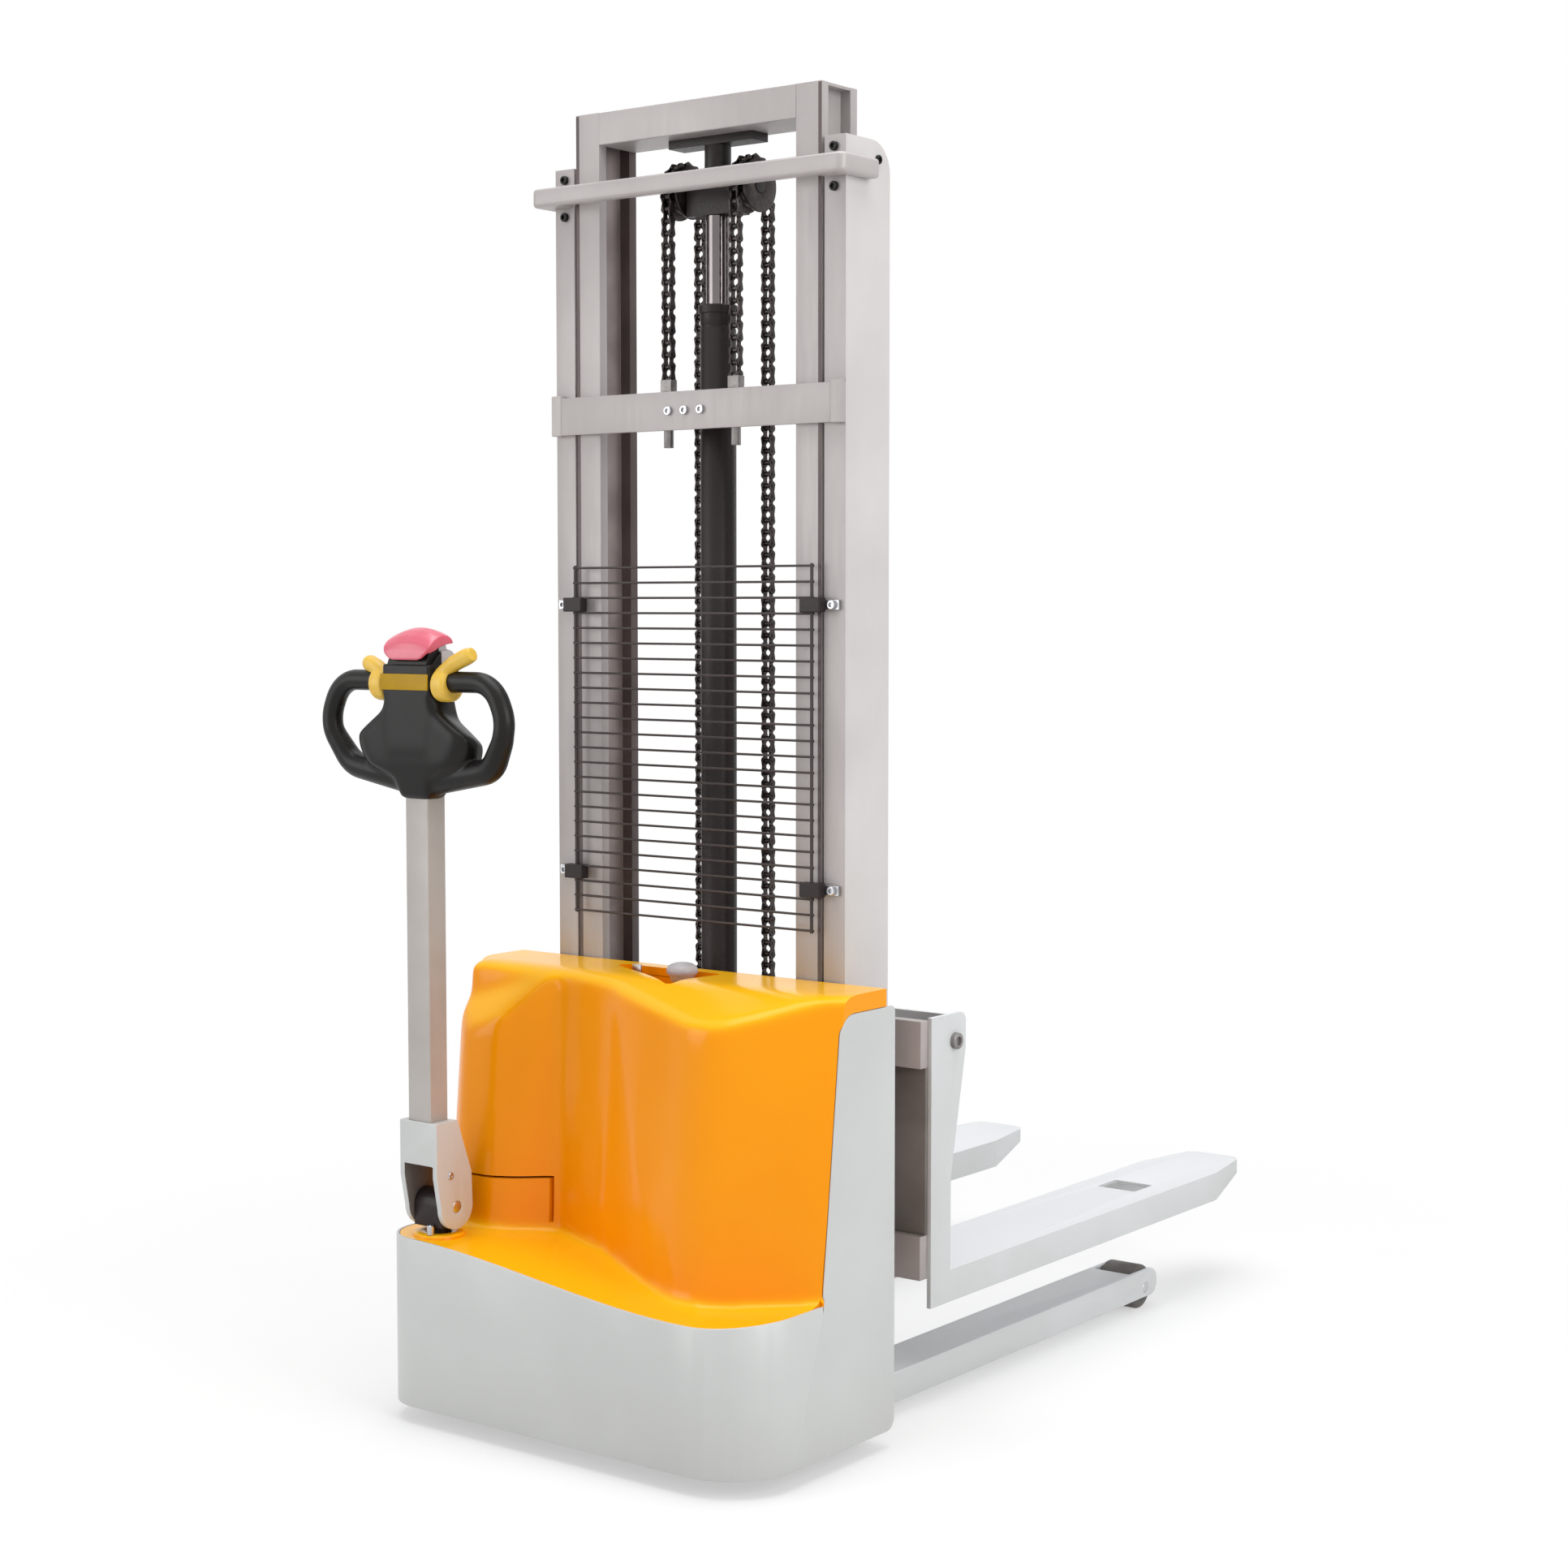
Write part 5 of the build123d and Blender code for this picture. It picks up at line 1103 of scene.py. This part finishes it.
def screws(name, places, radius, height, finish, body="chassis", replaced=()):
    mesh = plainMesh("points", [spot(*place) for place, way in places])
    facing = mesh.attributes.new("facing", "FLOAT_VECTOR", "POINT")
    for item, (place, way) in zip(facing.data, places):
        item.vector = way
    result = grown(screwTree(), mesh, {"Shape": screwShape(radius, height)})
    piece(name, result, finish, replaced, body)


def onBothSides(x, y, z):
    return [((side * x, y, z), (side, 0, 0)) for side in (1, -1)]


screwLook = {
    "black": [(x, 0, z) for x in (-282, 282) for z in (2062, 2000)],
    "bright": [(x, -7, z) for x in (-284, 284) for z in (890, 1345)] + [(x, -12, 1663.5) for x in (-46, -12, 22)],
    "railSide": (limits("outer_mast_right")[1].x, 87, 2050), "fork": (limits("fork_right")[1].x, 264, 619),
    "hub": (tillerX + 13, tillerAxis.y - 33, ringLook["top"] + 1), "posts": [(-40, -30, 0), (-240, -30, 0)]}
batteryTop = limits("batteries")[1]
black, bright = ([(place, (0, -1, 0)) for place in screwLook[key]] for key in ("black", "bright"))
posts = [(batteryTop + Vector(place), (0, 0, 1)) for place in screwLook["posts"]]
screws("mast_screws_black", black, 7.5, 6, blackBolt, replaced=["mast_bolts"])
screws("mast_screws_bright", bright, 7.5, 6, zincBolt)
screws("rail_side_screws", onBothSides(*screwLook["railSide"]), 7.5, 4, blackBolt)
screws("battery_posts", posts, 8, 8, dullZinc)
screws("hub_screw", [(screwLook["hub"], (0, 0, 1))], 6.5, 15, zincBolt, "steering")
screws("fork_screws", onBothSides(*screwLook["fork"]), 14, 9, dullZinc, "carriage")
print("chains, guard and screws done")

# Camera at the photograph's viewpoint
cameraLook = {"place": (2740.8, -3386.2, 1347.8), "pitch": 86.07, "turn": 37.07, "lens": 60.48, "sensor": 36}
camera = linked("camera", bpy.data.cameras.new("camera"))
camera.location = spot(*cameraLook["place"])
camera.rotation_euler = (math.radians(cameraLook["pitch"]), 0, math.radians(cameraLook["turn"]))
camera.data.lens = cameraLook["lens"]
camera.data.sensor_width = cameraLook["sensor"]
bpy.context.scene.camera = camera

# Soft studio light: a key from the right, a broad ceiling and a weak fill, as place, size and watts
lampLook = {"keyLamp": ((5.0, -1.0, 2.9), 3.0, 108), "ceilingLamp": ((0.3, -0.4, 5.2), 4.0, 165),
            "fillLamp": ((-3.0, -4.8, 2.2), 3.0, 72)}
aim = Vector((0.1, 0, 1.0))
for name, (place, size, power) in lampLook.items():
    lamp = linked(name, bpy.data.lights.new(name, "AREA"))
    lamp.data.size = size
    lamp.data.energy = power
    lamp.location = place
    lamp.rotation_euler = (aim - lamp.location).to_track_quat("-Z", "Y").to_euler()


# World and floor are white to the eye, and the floor keeps the shadow near the truck
def seenByEye(tree):
    rays = addNode(tree, "ShaderNodeLightPath")
    glossy = maths(tree, "MAXIMUM", rays.outputs["Is Camera Ray"], rays.outputs["Is Glossy Ray"])
    return maths(tree, "MAXIMUM", glossy, rays.outputs["Is Transmission Ray"])


worldLook = {"light": 0.48, "white": 1.0}
world = bpy.data.worlds.new("studio")
bpy.context.scene.world = world
world.use_nodes = True
tree = world.node_tree
strength = remap(tree, seenByEye(tree), 0.0, 1.0, worldLook["light"], worldLook["white"])
setInputs(tree, tree.nodes["Background"], {"Color": (1, 1, 1, 1), "Strength": strength})

floorLook = {"half": 9, "tone": "#F4F4F4", "roughness": 0.9, "nearM": 0.9, "farM": 2.2, "nearShare": 0.5}
floorMaterial = bpy.data.materials.new("paleStudioFloor")
floorMaterial.use_nodes = True
tree = floorMaterial.node_tree
shader = setInputs(tree, tree.nodes["Principled BSDF"], {
    "Base Color": hexColour(floorLook["tone"]), "Roughness": floorLook["roughness"]})
place = addNode(tree, "ShaderNodeTexCoord").outputs["Object"]
away = addNode(tree, "ShaderNodeVectorMath", {0: place}, operation="LENGTH").outputs["Value"]
fade = remap(tree, away, floorLook["nearM"], floorLook["farM"], floorLook["nearShare"], 1.0,
             interpolation_type="SMOOTHSTEP")
share = maths(tree, "MULTIPLY", fade, seenByEye(tree))
white = addNode(tree, "ShaderNodeEmission", {"Color": (1, 1, 1, 1), "Strength": 1.0})
surface = addNode(tree, "ShaderNodeMixShader", {0: share, 1: shader, 2: white})
setInputs(tree, tree.nodes["Material Output"], {"Surface": surface})
half = floorLook["half"]
corners = [(-half, -half, 0), (half, -half, 0), (half, half, 0), (-half, half, 0)]
floor = linked("floor", plainMesh("floor", corners, faces=[(0, 1, 2, 3)]))
floor.data.materials.append(floorMaterial)
bpy.context.scene.view_settings.view_transform = "Standard"
